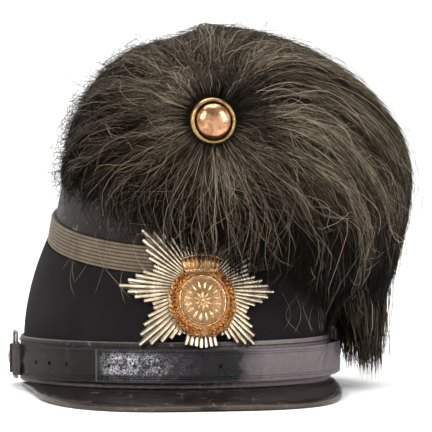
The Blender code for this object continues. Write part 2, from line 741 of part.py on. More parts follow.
def make_medallion(stand):
    shape = bmesh.new()
    loops = []
    for share, height, leaf in MEDAL_SECTION:
        points = []
        for k in range(MEDAL_SIDES):
            angle = math.tau * k / MEDAL_SIDES
            lift = MEDAL_LIFT + height
            if leaf and k % 2:
                lift -= MEDAL_LEAF_DEPTH
            u = MEDAL_HALF_WIDTH * share * math.sin(angle)
            v = MEDAL_CENTRE_V - MEDAL_HALF_HEIGHT * share * math.cos(angle)
            points.append(star_place(u, v, lift))
        loops.append(add_loop(shape, points))
    for low, high in zip(loops, loops[1:]):
        bridge(shape, low, high)
    ends = ((loops[0], MEDAL_LIFT), (loops[-1], MEDAL_LIFT + MEDAL_FIELD_HEIGHT))
    for rim, lift in ends:
        middle = shape.verts.new(star_place(0.0, MEDAL_CENTRE_V, lift))
        for k in range(MEDAL_SIDES):
            shape.faces.new((rim[k], rim[(k + 1) % MEDAL_SIDES], middle))
    medallion = make_object("medallion", shape, GOLD, stand, 30.0)
    crown = make_cutter("medallion_crown", crown_figure(), stand)
    add_boolean(medallion, crown, 'UNION')
    return medallion


# Button

def make_button_rim(stand):
    outer, hole, height = BUTTON_RIM_RADIUS, BUTTON_HOLE_RADIUS, BUTTON_RIM_HEIGHT
    profile = (
        (hole, 0.0),
        (outer - 0.6, 0.0),
        (outer, height * 0.35),
        (outer - 0.5, height * 0.8),
        (outer - 1.2, height),
        (hole, height * 0.8),
    )
    shape = turned_shape(profile, BUTTON_CENTRE, BUTTON_AXIS, BUTTON_SIDES)
    return make_object("button_rim", shape, BRASS, stand)


def make_plume_button(stand):
    radius = BUTTON_HOLE_RADIUS - GAP
    base = 0.4
    profile = [(0.0, base), (radius, base), (radius, base + 2.4)]
    for step in range(1, 5):
        angle = math.radians(18.0 * step)
        rise = (BUTTON_DOME_HEIGHT - base - 2.4) * math.sin(angle)
        profile.append((radius * math.cos(angle), base + 2.4 + rise))
    profile.append((0.0, BUTTON_DOME_HEIGHT))
    shape = turned_shape(profile, BUTTON_CENTRE, BUTTON_AXIS, BUTTON_SIDES)
    return make_object("plume_button", shape, COPPER, stand)


# Plume

def plume_reach(direction):
    # How far the hair reaches from the plume's heart, as a soft union of the masses.
    total = 0.0
    for mass in PLUME_MASSES:
        centre = Vector(mass[:3]) - PLUME_HEART
        size = Vector(mass[3:])
        ray = Vector(d / s for d, s in zip(direction, size))
        away = Vector(c / s for c, s in zip(centre, size))
        along = ray.dot(away) / ray.length_squared
        miss = 1.0 - (away - ray * along).length_squared
        if miss <= 0.0:
            continue
        leave = along + math.sqrt(miss / ray.length_squared)
        if leave > 0.0:
            total += (leave * math.sqrt(min(1.0, miss / 0.35))) ** PLUME_BLEND
    return total ** (1.0 / PLUME_BLEND)


def plume_axes():
    pole = (BUTTON_CENTRE - PLUME_HEART).normalized()
    across = Vector((1.0, 0.0, 0.0))
    across = (across - pole * across.dot(pole)).normalized()
    return pole, across, across.cross(pole)


def plume_direction(from_pole, around):
    pole, across, up = plume_axes()
    side = across * math.cos(around) + up * math.sin(around)
    return pole * math.cos(from_pole) + side * math.sin(from_pole)


def plume_head():
    pole = plume_axes()[0]
    shape = bmesh.new()
    count = PLUME_RIDGES * 2
    loops = []
    for ring, degrees in enumerate(PLUME_RING_ANGLES):
        from_pole = math.radians(degrees)
        swirl = PLUME_SWIRL * smooth_step(from_pole / math.pi)
        depth = PLUME_RIDGE_DEPTH * smooth_step(degrees / 30.0)
        points = []
        for k in range(count):
            around = math.tau * k / count
            direction = plume_direction(from_pole, around + swirl)
            wave = math.sin(5.0 * around + ring) * 0.5
            relief = depth * (1.0 + wave) if k % 2 else -depth * 0.5
            points.append(PLUME_HEART + direction * (plume_reach(direction) + relief))
        loops.append(add_loop(shape, points))
    for low, high in zip(loops, loops[1:]):
        bridge(shape, low, high)
    for rim, direction in ((loops[0], pole), (loops[-1], -pole)):
        middle = shape.verts.new(PLUME_HEART + direction * plume_reach(direction))
        for k in range(count):
            shape.faces.new((rim[k], rim[(k + 1) % count], middle))
    bmesh.ops.triangulate(shape, faces=shape.faces)
    return shape


def front_surface(x, z):
    # The crown's front at this place, between the rings above and below it.
    heights = []
    for ring in CROWN_RINGS[1:]:
        turn = math.asin(max(-0.995, min(0.995, x / ring[0])))
        heights.append(ring_point(ring, turn))
    for low, high in zip(heights, heights[1:]):
        if low.z <= z <= high.z:
            share = (z - low.z) / max(0.001, high.z - low.z)
            return low.y + (high.y - low.y) * share
    return heights[0].y if z < heights[0].z else heights[-1].y


def lock_points(root, middle, tip):
    # A smooth curve through the three places.
    points = []
    bow = middle * 2.0 - (root + tip) * 0.5
    for i in range(LOCK_STEPS + 1):
        t = i / LOCK_STEPS
        points.append(root * (1 - t) ** 2 + bow * 2 * t * (1 - t) + tip * t ** 2)
    return points


def lock_radii(root_radius):
    radii = []
    for i in range(LOCK_STEPS + 1):
        t = i / LOCK_STEPS
        swell = 0.75 + 0.5 * math.sin(math.pi * min(1.0, t * 1.4))
        radii.append(LOCK_TIP_RADIUS + (root_radius * swell - LOCK_TIP_RADIUS) * (1.0 - t ** 2.2))
    return radii


def tail_and_fringe_locks():
    locks = []
    for row in TAIL_LOCKS:
        root, middle, tip = Vector(row[0:3]), Vector(row[3:6]), Vector(row[6:9])
        locks.append((lock_points(root, middle, tip), lock_radii(row[9])))
    pole = plume_axes()[0]
    for tip_x, tip_z, radius in FRINGE_LOCKS:
        tip = Vector((tip_x, front_surface(tip_x, tip_z) - 4.5, tip_z))
        down = (tip - PLUME_HEART).normalized()
        root_way = down.lerp(pole, 0.42).normalized()
        middle_way = down.lerp(pole, 0.17).normalized()
        root = PLUME_HEART + root_way * (plume_reach(root_way) - radius * 0.7)
        middle = PLUME_HEART + middle_way * (plume_reach(middle_way) - radius * 0.25)
        middle.y = min(middle.y, front_surface(middle.x, middle.z) - radius * 0.8)
        locks.append((lock_points(root, middle, tip), lock_radii(radius)))
    return locks


def lock_object(index, points, radii, stand):
    shape = bmesh.new()
    add_tube(shape, points, radii, LOCK_SIDES)
    bmesh.ops.triangulate(shape, faces=shape.faces)
    return make_cutter(f"plume_lock_{index}", shape, stand)


def crown_clearance():
    # The crown, its fittings and a little room round them, as one closed solid.
    room = HAIR_ROOM
    shape = bmesh.new()
    low = (BAND_HALF_WIDTH, -BAND_HALF_LENGTH, BAND_HALF_LENGTH, -30.0, 0.0)
    rings = [inset_ring(low, -FITTINGS_ROOM), inset_ring(low, -FITTINGS_ROOM, -58.0)]
    rings.append(inset_ring(low, 0.8 - room, -60.0))
    rings += [inset_ring(ring, -room) for ring in CROWN_RINGS[3:5]]
    rings.append(inset_ring(BRAID_LOW_RING, -room, 0.6))
    rings.append(inset_ring(BRAID_HIGH_RING, -room, -0.6))
    rings += [inset_ring(ring, -room, -room) for ring in CAP_SKIRT_RINGS[1:]]
    loops = [add_ring(shape, ring) for ring in rings]
    for lower, higher in zip(loops, loops[1:]):
        bridge(shape, lower, higher)
    shape.faces.new(loops[0])
    shape.faces.new(loops[-1])
    bmesh.ops.triangulate(shape, faces=shape.faces)
    return shape


def star_clearance(half_width, low, top, lift):
    # A round-topped slab bent like the star, from inside the crown to just over the metal.
    shape = bmesh.new()
    columns = 8
    rows = []
    for i in range(columns + 1):
        u = half_width * (2.0 * i / columns - 1.0)
        high = max(6.0, top * math.sqrt(max(0.0, 1.0 - (u / half_width) ** 2)))
        corners = ((low, STAR_ROOM_BACK), (high, STAR_ROOM_BACK), (high, lift), (low, lift))
        rows.append(add_loop(shape, [star_place(u, v, w) for v, w in corners]))
    for row, next_row in zip(rows, rows[1:]):
        bridge(shape, row, next_row)
    shape.faces.new(rows[0])
    shape.faces.new(rows[-1])
    bmesh.ops.triangulate(shape, faces=shape.faces)
    return shape


def button_pocket():
    shape = bmesh.new()
    floor = BUTTON_CENTRE - BUTTON_AXIS * GAP
    ends = [floor, floor + BUTTON_AXIS * BUTTON_POCKET_LENGTH]
    add_tube(shape, ends, [BUTTON_RIM_RADIUS + HAIR_ROOM] * 2, BUTTON_SIDES)
    return shape


def make_plume(stand):
    plume = make_object("plume", plume_head(), HAIR, stand, 60.0)
    for index, (points, radii) in enumerate(tail_and_fringe_locks()):
        add_boolean(plume, lock_object(index, points, radii, stand), 'UNION')
    room = (
        ("crown_room", crown_clearance()),
        ("star_room", star_clearance(43.0, -36.0, 43.0, 3.6)),
        ("medallion_room", star_clearance(18.0, -26.0, 21.0, 6.4)),
        ("button_pocket", button_pocket()),
    )
    for name, shape in room:
        add_boolean(plume, make_cutter(name, shape, stand), 'DIFFERENCE')
    return plume


# Standing on the floor

def rest_tilt(peak):
    # The hat leans back until the floor touches the peak and the rear rim.
    rear = (BAND_HALF_LENGTH - BAND_EDGE_ROUND) * MM
    return max(math.atan2(-vertex.co.z, rear - vertex.co.y) for vertex in peak.data.vertices)


def stand_on_floor(stand, peak, pieces):
    # Leans the hat on the floor, with its footprint's middle at the origin.
    stand.rotation_euler = (-rest_tilt(peak), 0.0, 0.0)
    bpy.context.view_layer.update()
    view = bpy.context.evaluated_depsgraph_get()
    low = Vector((math.inf,) * 3)
    high = Vector((-math.inf,) * 3)
    for piece in pieces:
        evaluated = piece.evaluated_get(view)
        for vertex in evaluated.data.vertices:
            place = evaluated.matrix_world @ vertex.co
            low = Vector(map(min, low, place))
            high = Vector(map(max, high, place))
    stand.location = Vector((-(low.x + high.x) / 2, -(low.y + high.y) / 2, -low.z))
    bpy.context.view_layer.update()


def main():
    remove_old_objects()
    stand = bpy.data.objects.new("hat_stand_point", None)
    bpy.context.collection.objects.link(stand)
    peak = make_peak(stand)
    pieces = [
        peak,
        make_crown_body(stand),
        make_braid_band(stand),
        make_top_cap(stand),
        make_base_band(stand),
        make_strap_long(stand),
        make_strap_left(stand),
        make_star(stand),
        make_medallion(stand),
        make_button_rim(stand),
        make_plume_button(stand),
        make_plume(stand),
    ]
    for side, name in ((-1, "left"), (1, "right")):
        punch = make_stud_punch(stand, side, f"stud_punch_{name}")
        pieces.append(make_side_loop(stand, side, f"side_loop_{name}"))
        pieces.append(make_tab(stand, side, f"tab_{name}", punch))
        pieces.append(make_tab_stud(stand, side, f"tab_stud_{name}"))
    stand_on_floor(stand, peak, pieces)


main()
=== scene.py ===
# Plumed shako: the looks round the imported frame.
# Lengths in the dictionaries are millimetres in the hat's own frame, unless a name says otherwise.
import math

import bpy
import numpy as np
from mathutils import Matrix, Vector


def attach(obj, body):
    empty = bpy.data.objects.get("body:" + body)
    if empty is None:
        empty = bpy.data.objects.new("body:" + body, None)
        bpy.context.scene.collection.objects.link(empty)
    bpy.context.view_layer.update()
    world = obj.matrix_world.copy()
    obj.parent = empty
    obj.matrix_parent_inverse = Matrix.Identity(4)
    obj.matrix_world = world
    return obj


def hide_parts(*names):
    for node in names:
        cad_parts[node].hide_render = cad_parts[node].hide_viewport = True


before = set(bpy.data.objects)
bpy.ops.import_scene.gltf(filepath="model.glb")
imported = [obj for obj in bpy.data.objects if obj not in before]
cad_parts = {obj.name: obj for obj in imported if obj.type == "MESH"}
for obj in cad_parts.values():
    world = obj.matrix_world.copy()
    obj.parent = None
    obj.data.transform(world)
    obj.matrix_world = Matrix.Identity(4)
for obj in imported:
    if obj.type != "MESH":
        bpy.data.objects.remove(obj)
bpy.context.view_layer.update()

# How the hat leans on the floor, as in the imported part
hatStand = {"rimCentre": (-0.019421, 0.019991, 0.003747), "tiltDeg": -2.12005}
standTurn = np.array(Matrix.Rotation(math.radians(hatStand["tiltDeg"]), 3, 'X'))
standPlace = np.array(hatStand["rimCentre"])
mm = 0.001


def toRow(points):
    return np.asarray(points, float) * mm @ standTurn.T + standPlace


def toHat(points):
    return (np.asarray(points, float) - standPlace) @ standTurn / mm


def easeIn(share):
    share = np.clip(share, 0.0, 1.0)
    return share * share * (3.0 - 2.0 * share)


def unit(vectors):
    return vectors / np.maximum(np.linalg.norm(vectors, axis=-1, keepdims=True), 1e-9)


# Small helpers for pieces

def selectOnly(piece):
    bpy.ops.object.select_all(action='DESELECT')
    piece.select_set(True)
    bpy.context.view_layer.objects.active = piece


def fetch(items, label, kind, width=1):
    # One value for each item of a mesh, or a row of width values.
    data = np.zeros(len(items) * width, kind)
    items.foreach_get(label, data)
    return data if width == 1 else data.reshape(-1, width)


def meshPoints(piece):
    return fetch(piece.data.vertices, "co", np.float32, 3).astype(float)


def addValues(mesh, label, data):
    attribute = mesh.attributes.new(label, 'FLOAT', 'POINT')
    attribute.data.foreach_set("value", np.asarray(data, np.float32).ravel())


def settle(piece, slotName, *replaced):
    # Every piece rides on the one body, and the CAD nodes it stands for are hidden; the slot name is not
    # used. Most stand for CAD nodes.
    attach(piece, "root")
    if replaced:
        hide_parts(*replaced)


def arrayPiece(name, points, faceSets, material, sharpDeg=None, values=None):
    # A joined mesh from arrays: points in the hat's frame, face sets of one corner count each.
    mesh = bpy.data.meshes.new(name)
    corners = np.concatenate([np.asarray(faces).ravel() for faces in faceSets]).astype(np.int32)
    sizes = np.concatenate([np.full(len(faces), np.shape(faces)[1]) for faces in faceSets])
    starts = np.concatenate(([0], np.cumsum(sizes)[:-1])).astype(np.int32)
    mesh.vertices.add(len(points))
    mesh.vertices.foreach_set("co", toRow(points).astype(np.float32).ravel())
    mesh.loops.add(len(corners))
    mesh.loops.foreach_set("vertex_index", corners)
    mesh.polygons.add(len(sizes))
    mesh.polygons.foreach_set("loop_start", starts)
    mesh.update(calc_edges=True)
    mesh.shade_smooth()
    if sharpDeg is not None:
        mesh.set_sharp_from_angle(angle=math.radians(sharpDeg))
    for label, data in (values or {}).items():
        addValues(mesh, label, data)
    mesh.materials.append(material)
    piece = bpy.data.objects.new(name, mesh)
    bpy.context.scene.collection.objects.link(piece)
    return piece


def nodeCopy(nodeName, pieceName, material, sharpDeg, rounding=0):
    # A merged, smooth-shaded copy of a CAD node, rounded by subdivision where it is asked for.
    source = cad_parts[nodeName]
    piece = source.copy()
    piece.data = source.data.copy()
    piece.name = pieceName
    for key in list(piece.keys()):
        del piece[key]
    piece.parent = None
    bpy.context.scene.collection.objects.link(piece)
    selectOnly(piece)
    bpy.ops.object.mode_set(mode='EDIT')
    bpy.ops.mesh.select_all(action='SELECT')
    bpy.ops.mesh.remove_doubles(threshold=1e-6)
    if rounding:
        bpy.ops.mesh.tris_convert_to_quads(face_threshold=math.radians(25), shape_threshold=math.radians(60))
        bpy.ops.mesh.select_all(action='DESELECT')
        bpy.ops.mesh.edges_select_sharp(sharpness=math.radians(sharpDeg))
        bpy.ops.transform.edge_crease(value=1.0)
    bpy.ops.object.mode_set(mode='OBJECT')
    if rounding:
        modifier = piece.modifiers.new("rounding", 'SUBSURF')
        modifier.levels = rounding
        modifier.render_levels = rounding
        bpy.ops.object.modifier_apply(modifier=modifier.name)
    bpy.ops.object.shade_smooth_by_angle(angle=math.radians(sharpDeg))
    piece.data.materials.clear()
    piece.data.materials.append(material)
    return piece


def dressNode(nodeName, pieceName, material, slotName, sharpDeg=40.0, rounding=0, changes=()):
    # A CAD node in its finish, with any changes made to its copied mesh.
    piece = nodeCopy(nodeName, pieceName, material, sharpDeg, rounding)
    for change in changes:
        change(piece)
    settle(piece, slotName, nodeName)


def newBall(segments, rings, radius, poleAlongX=False):
    bpy.ops.object.select_all(action='DESELECT')
    bpy.ops.mesh.primitive_uv_sphere_add(segments=segments, ring_count=rings, radius=radius)
    ball = bpy.context.object
    if poleAlongX:
        ball.rotation_euler = (0.0, math.pi / 2, 0.0)
        bpy.ops.object.transform_apply(rotation=True)
    return ball


def templateArrays(piece):
    # The points and triangles of a small modelled piece, which is then taken away.
    points = meshPoints(piece)
    piece.data.calc_loop_triangles()
    faces = fetch(piece.data.loop_triangles, "vertices", np.int32, 3)
    bpy.data.objects.remove(piece, do_unlink=True)
    return points, faces


def joinArrays(parts):
    points, faces, start = [], [], 0
    for partPoints, partFaces in parts:
        points.append(partPoints)
        faces.append(partFaces + start)
        start += len(partPoints)
    return np.concatenate(points), np.concatenate(faces)


def ringQuads(size, low, high):
    # Faces between two closed rings of points, which start at the given numbers.
    i = np.arange(size)
    j = (i + 1) % size
    return np.stack([i + low, j + low, j + high, i + high], 1)


def ringFan(size, start, tip):
    # Triangles from a closed ring to one point.
    i = np.arange(size)
    return np.stack([i + start, (i + 1) % size + start, np.full(size, tip)], 1)


def splitQuads(quads):
    return np.concatenate([quads[:, (0, 1, 2)], quads[:, (0, 2, 3)]])


# Small helpers for materials

def startMaterial(name, **sockets):
    material = bpy.data.materials.new(name)
    material.use_nodes = True
    tree = material.node_tree
    shader = tree.nodes["Principled BSDF"]
    for label, value in sockets.items():
        shader.inputs[label.replace("_", " ")].default_value = value
    return material, tree, shader


def addNode(tree, kind, inputs=None, **settings):
    made = tree.nodes.new(kind)
    for label, value in settings.items():
        setattr(made, label, value)
    for key, value in (inputs or {}).items():
        if isinstance(value, bpy.types.NodeSocket):
            tree.links.new(value, made.inputs[key])
        else:
            made.inputs[key].default_value = value
    return made


def objectSpace(tree, scale=(1.0, 1.0, 1.0), turnDeg=(0.0, 0.0, 0.0)):
    where = addNode(tree, "ShaderNodeTexCoord").outputs["Object"]
    turn = tuple(math.radians(angle) for angle in turnDeg)
    return addNode(tree, "ShaderNodeMapping", {"Vector": where, "Scale": scale, "Rotation": turn}).outputs[0]


def valueOf(tree, label):
    return addNode(tree, "ShaderNodeAttribute", attribute_name=label).outputs["Fac"]


def noiseOf(tree, where, sizeMm, detail=4.0, roughness=0.55, distortion=0.0):
    inputs = {"Vector": where, "Scale": 1.0 / (sizeMm * mm), "Detail": detail}
    inputs.update({"Roughness": roughness, "Distortion": distortion})
    return addNode(tree, "ShaderNodeTexNoise", inputs).outputs["Fac"]


def rampOf(tree, value, *stops):
    # Each stop is a place and a grey value or a colour.
    ramp = addNode(tree, "ShaderNodeValToRGB", {"Fac": value})
    marks = ramp.color_ramp.elements
    while len(marks) < len(stops):
        marks.new(0.5)
    for mark, (place, colour) in zip(marks, stops):
        mark.position = place
        mark.color = (colour,) * 3 + (1.0,) if isinstance(colour, float) else (*colour, 1.0)
    return ramp.outputs["Color"]


def mixOf(tree, share, first, second):
    made = tree.nodes.new("ShaderNodeMix")
    made.data_type = 'RGBA'
    for index, value in ((0, share), (6, first), (7, second)):
        if isinstance(value, bpy.types.NodeSocket):
            tree.links.new(value, made.inputs[index])
        elif index == 0:
            made.inputs[0].default_value = value
        else:
            made.inputs[index].default_value = (*value, 1.0)
    return made.outputs[2]


def mathOf(tree, operation, first, second=0.0, third=0.0):
    return addNode(tree, "ShaderNodeMath", {0: first, 1: second, 2: third}, operation=operation).outputs[0]


def times(tree, first, second):
    return mathOf(tree, 'MULTIPLY', first, second)


def scaled(tree, value, factor, offset):
    return mathOf(tree, 'MULTIPLY_ADD', value, factor, offset)


def apart(tree, value, middle):
    # How far a value is from the middle, on either side.
    return mathOf(tree, 'ABSOLUTE', mathOf(tree, 'SUBTRACT', value, middle))


def bumpOf(tree, height, strength, depthMm, before=None):
    inputs = {"Height": height, "Strength": strength, "Distance": depthMm * mm}
    if before is not None:
        inputs["Normal"] = before
    return addNode(tree, "ShaderNodeBump", inputs).outputs[0]


def joinUp(tree, shader, **sources):
    for label, source in sources.items():
        tree.links.new(source, shader.inputs[label.replace("_", " ")])


# Camera, floor and light
print("stage: camera, floor and light")

cameraSet = {
    "azimuthDeg": -9.0,
    "elevationDeg": 2.6,
    "distance": 1.7,  # metres
    "farthest": 20.0,  # metres
    "sensor": 36.0,
    "framePixels": 432,
    "pixel": 0.535,  # one pixel of the frame at the hat
    "aside": 22.0,
    "height": 86.5,
}


def turnTo(away):
    return away.to_track_quat('Z', 'Y').to_euler()


def placeCamera(spec):
    azimuth, elevation = math.radians(spec["azimuthDeg"]), math.radians(spec["elevationDeg"])
    back = Vector((math.sin(azimuth) * math.cos(elevation),
                   -math.cos(azimuth) * math.cos(elevation),
                   math.sin(elevation)))
    right = Vector((math.cos(azimuth), math.sin(azimuth), 0.0))
    aim = Vector(hatStand["rimCentre"]) + right * spec["aside"] * mm + Vector((0, 0, spec["height"] * mm))
    bpy.ops.object.camera_add(location=aim + back * spec["distance"], rotation=turnTo(back))
    camera = bpy.context.object
    camera.data.sensor_width = spec["sensor"]
    camera.data.lens = spec["sensor"] * spec["distance"] / (spec["framePixels"] * spec["pixel"] * mm)
    camera.data.clip_end = spec["farthest"]
    bpy.context.scene.camera = camera


floorSet = {
    "radius": 3.8,  # metres
    "rise": 2.4,  # metres
    "sweep": 0.8,  # metres
    "sides": 128,
    "grain": 2.0,
    # share of four metres from the middle, and how brightly the paper glows there
    "glow": ((0.35, 0.0), (0.9, 0.28)),
}


def selectParts(piece, kind, label, chosen):
    # Selects only the faces or edges that are chosen, and leaves the piece in edit mode.
    bpy.ops.object.mode_set(mode='EDIT')
    bpy.ops.mesh.select_mode(type=kind)
    bpy.ops.mesh.select_all(action='DESELECT')
    bpy.ops.object.mode_set(mode='OBJECT')
    for part in getattr(piece.data, label):
        part.select = chosen(part)
    bpy.ops.object.mode_set(mode='EDIT')


def paperMaterial(spec):
    # The paper glows a little towards the wall, as when it is lit from behind.
    material, tree, shader = startMaterial("palePaper", Roughness=0.9, Emission_Color=(1.0, 1.0, 1.0, 1.0))
    grain = noiseOf(tree, objectSpace(tree), spec["grain"])
    where = addNode(tree, "ShaderNodeTexCoord").outputs["Object"]
    away = addNode(tree, "ShaderNodeVectorMath", {0: where}, operation='LENGTH').outputs["Value"]
    joinUp(tree, shader, Base_Color=rampOf(tree, grain, (0.3, 0.93), (0.7, 0.95)),
           Emission_Strength=rampOf(tree, times(tree, away, 0.25), *spec["glow"]))
    return material


def makeFloor(spec):
    # A round paper bowl: flat in the middle and swept up all round, so every view has the same pale ground.
    bpy.ops.object.select_all(action='DESELECT')
    bpy.ops.mesh.primitive_cylinder_add(vertices=spec["sides"], radius=spec["radius"], depth=spec["rise"],
                                        end_fill_type='NGON', location=(0, 0, spec["rise"] / 2))
    floor = bpy.context.object
    floor.name = "studioFloor"
    bpy.ops.object.transform_apply(location=True)
    selectParts(floor, 'FACE', "polygons", lambda face: face.normal.z > 0.9)
    bpy.ops.mesh.delete(type='FACE')
    selectParts(floor, 'EDGE', "edges",
                lambda edge: all(floor.data.vertices[i].co.z < 0.01 for i in edge.vertices))
    bpy.ops.mesh.bevel(offset=spec["sweep"], segments=18)
    bpy.ops.mesh.select_all(action='SELECT')
    bpy.ops.mesh.flip_normals()
    bpy.ops.object.mode_set(mode='OBJECT')
    bpy.ops.object.shade_smooth()
    floor.data.materials.append(paperMaterial(spec))


lightSet = {
    "worldStrength": 0.5,
    "aim": (0.0, 0.0, 0.09),  # metres
    # name: place in metres, size in metres, watts
    "boxes": (
        ("softLeft", (-1.25, -1.35, 1.15), (0.9, 0.9), 29.0),
        ("softRight", (1.5, -1.0, 0.9), (0.7, 1.1), 19.0),
        ("softTop", (0.1, 0.3, 2.0), (1.6, 1.6), 42.0),
    ),
}


def makeLights(spec):
    world = bpy.data.worlds.new("paleRoom")
    world.use_nodes = True
    sky = world.node_tree.nodes["Background"]
    sky.inputs["Color"].default_value = (1.0, 1.0, 1.0, 1.0)
    sky.inputs["Strength"].default_value = spec["worldStrength"]
    bpy.context.scene.world = world
    for name, place, size, watts in spec["boxes"]:
        turn = turnTo(Vector(place) - Vector(spec["aim"]))
        bpy.ops.object.light_add(type='AREA', location=place, rotation=turn)
        lamp = bpy.context.object
        lamp.name = name
        lamp.data.shape = 'RECTANGLE'
        lamp.data.size, lamp.data.size_y = size
        lamp.data.energy = watts


bpy.context.scene.view_settings.view_transform = 'Standard'
placeCamera(cameraSet)
makeFloor(floorSet)
makeLights(lightSet)


# The shell's rings, as in the CAD
shell = {
    # half width, front, back, height at the sides, slope in degrees
    "rings": np.array((
        (81.1, -99.8, 99.8, 0.0, 0.0),
        (81.1, -99.6, 99.6, 24.0, 0.0),
        (79.9, -97.4, 97.5, 36.0, 2.4),
        (76.6, -94.8, 92.9, 51.0, 5.6),
        (72.4, -93.0, 87.7, 63.0, 8.2),
        (68.4, -91.9, 84.1, 71.5, 9.8),
        (65.9, -88.3, 80.6, 85.5, 9.8),
        (60.6, -82.0, 74.4, 101.0, 9.8),
        (58.4, -79.4, 71.8, 104.8, 9.8),
        (55.4, -76.2, 68.8, 106.0, 9.8),
    )),
    "bandHalfWidth": 83.0,
    "bandHalfLength": 101.8,
    "wrapRadius": 93.0,
    "wrapSeam": 280.0,  # a face that reaches farther round than this crosses the seam at the back
    "wrapScale": 0.01,
}


def shellSection(points):
    # Half width, middle and half length of the shell at each point's height, and how far out the point is.
    rings = shell["rings"]
    middle = (rings[:, 1] + rings[:, 2]) / 2
    sizes = np.stack([rings[:, 0], middle, (rings[:, 2] - rings[:, 1]) / 2], 1)
    heights = rings[:, 3] + np.tan(np.radians(rings[:, 4])) * (points[:, 1:2] - middle)
    size = np.tile(sizes[0], (len(points), 1))
    for low in range(len(rings) - 1):
        share = (points[:, 2] - heights[:, low]) / np.maximum(heights[:, low + 1] - heights[:, low], 1e-3)
        inside = share > 0.0
        share = np.clip(share, 0.0, 1.0)[:, None]
        size[inside] = (sizes[low] + (sizes[low + 1] - sizes[low]) * share)[inside]
    above = points[:, 2] > heights[:, -1] + 1.0
    out = np.hypot(points[:, 0] / size[:, 0], (points[:, 1] - size[:, 1]) / size[:, 2])
    return size, out, above


def keepOffShell(points, room, drawIn=False):
    # Moves points that are nearer to the shell than room, or inside it, straight out to that distance.
    # With drawIn, the points that are farther off come in to it as well.
    size, out, above = shellSection(points)
    least = 1.0 + room / size[:, 0]
    moving = drawIn | ((out < least) & ~above)
    push = np.where(moving, least / np.maximum(out, 1e-3), 1.0)
    moved = points.copy()
    moved[:, 0] *= push
    moved[:, 1] = size[:, 1] + (points[:, 1] - size[:, 1]) * push
    return moved


def wrapAround(piece):
    # A UV map that runs round the hat and up it, in mm times the wrap's scale.
    mesh = piece.data
    hat = toHat(meshPoints(piece))
    turn = np.arctan2(hat[:, 0] / shell["bandHalfWidth"], -hat[:, 1] / shell["bandHalfLength"])
    places = np.stack([turn * shell["wrapRadius"], hat[:, 2]], 1)
    layer = mesh.uv_layers[0] if mesh.uv_layers else mesh.uv_layers.new(name="wrap")
    layer.name = "wrap"
    loops = places[fetch(mesh.loops, "vertex_index", np.int32)]
    count = len(mesh.polygons)
    owner = np.repeat(np.arange(count), fetch(mesh.polygons, "loop_total", np.int32))
    highest = np.full(count, -1e9)
    np.maximum.at(highest, owner, loops[:, 0])
    across = loops[:, 0] < highest[owner] - shell["wrapSeam"]
    loops[across, 0] += math.tau * shell["wrapRadius"]
    layer.data.foreach_set("uv", (loops * shell["wrapScale"]).astype(np.float32).ravel())


def wrapSpace(tree):
    # The wrap map back in millimetres: round the hat and up it.
    where = addNode(tree, "ShaderNodeUVMap", uv_map="wrap").outputs[0]
    parts = addNode(tree, "ShaderNodeSeparateXYZ", {0: where})
    return [times(tree, parts.outputs[k], 1.0 / shell["wrapScale"]) for k in (0, 1)]


# Shell: cloth, leather and braid
print("stage: shell")


def clothMaterial():
    material, tree, shader = startMaterial("blackWool", Roughness=0.95, Sheen_Weight=0.015,
                                           Sheen_Roughness=0.5, Specular_IOR_Level=0.06)
    where = objectSpace(tree)
    cloud = noiseOf(tree, where, 22.0, 3.0)
    fibre = noiseOf(tree, where, 0.9, 6.0, 0.7, 0.6)
    lint = noiseOf(tree, where, 1.4, 2.0, 0.5, 2.0)
    base = mixOf(tree, rampOf(tree, cloud, (0.35, 0.0), (0.7, 1.0)),
                 (0.0048, 0.0042, 0.0045), (0.0092, 0.0080, 0.0084))
    base = mixOf(tree, rampOf(tree, fibre, (0.4, 0.0), (0.75, 0.7)), base, (0.017, 0.0150, 0.0155))
    base = mixOf(tree, rampOf(tree, lint, (0.74, 0.0), (0.80, 0.35)), base, (0.12, 0.11, 0.10))
    joinUp(tree, shader, Base_Color=base, Normal=bumpOf(tree, fibre, 0.5, 0.35))
    return material


leatherLooks = {
    # colour, worn colour, roughness low and high, grain size mm, bump, scratches, shine
    "black": ((0.010, 0.0080, 0.0075), (0.040, 0.032, 0.029), 0.34, 0.60, 0.8, 0.45, 0.8, 0.07),
    "grey": ((0.011, 0.0085, 0.0082), (0.038, 0.030, 0.029), 0.40, 0.62, 0.7, 0.40, 0.8, 0.11),
    "patent": ((0.0040, 0.0036, 0.0044), (0.017, 0.014, 0.015), 0.13, 0.32, 0.9, 0.30, 0.5, 0.17),
    "peak": ((0.0062, 0.0048, 0.0043), (0.027, 0.020, 0.016), 0.22, 0.46, 1.1, 0.5, 1.0, 0.17),
    "brown": ((0.010, 0.0070, 0.0060), (0.036, 0.027, 0.023), 0.42, 0.66, 0.7, 0.4, 0.8, 0.08),
}


def toned(colour, factor):
    return tuple(min(1.0, part * factor) for part in colour)


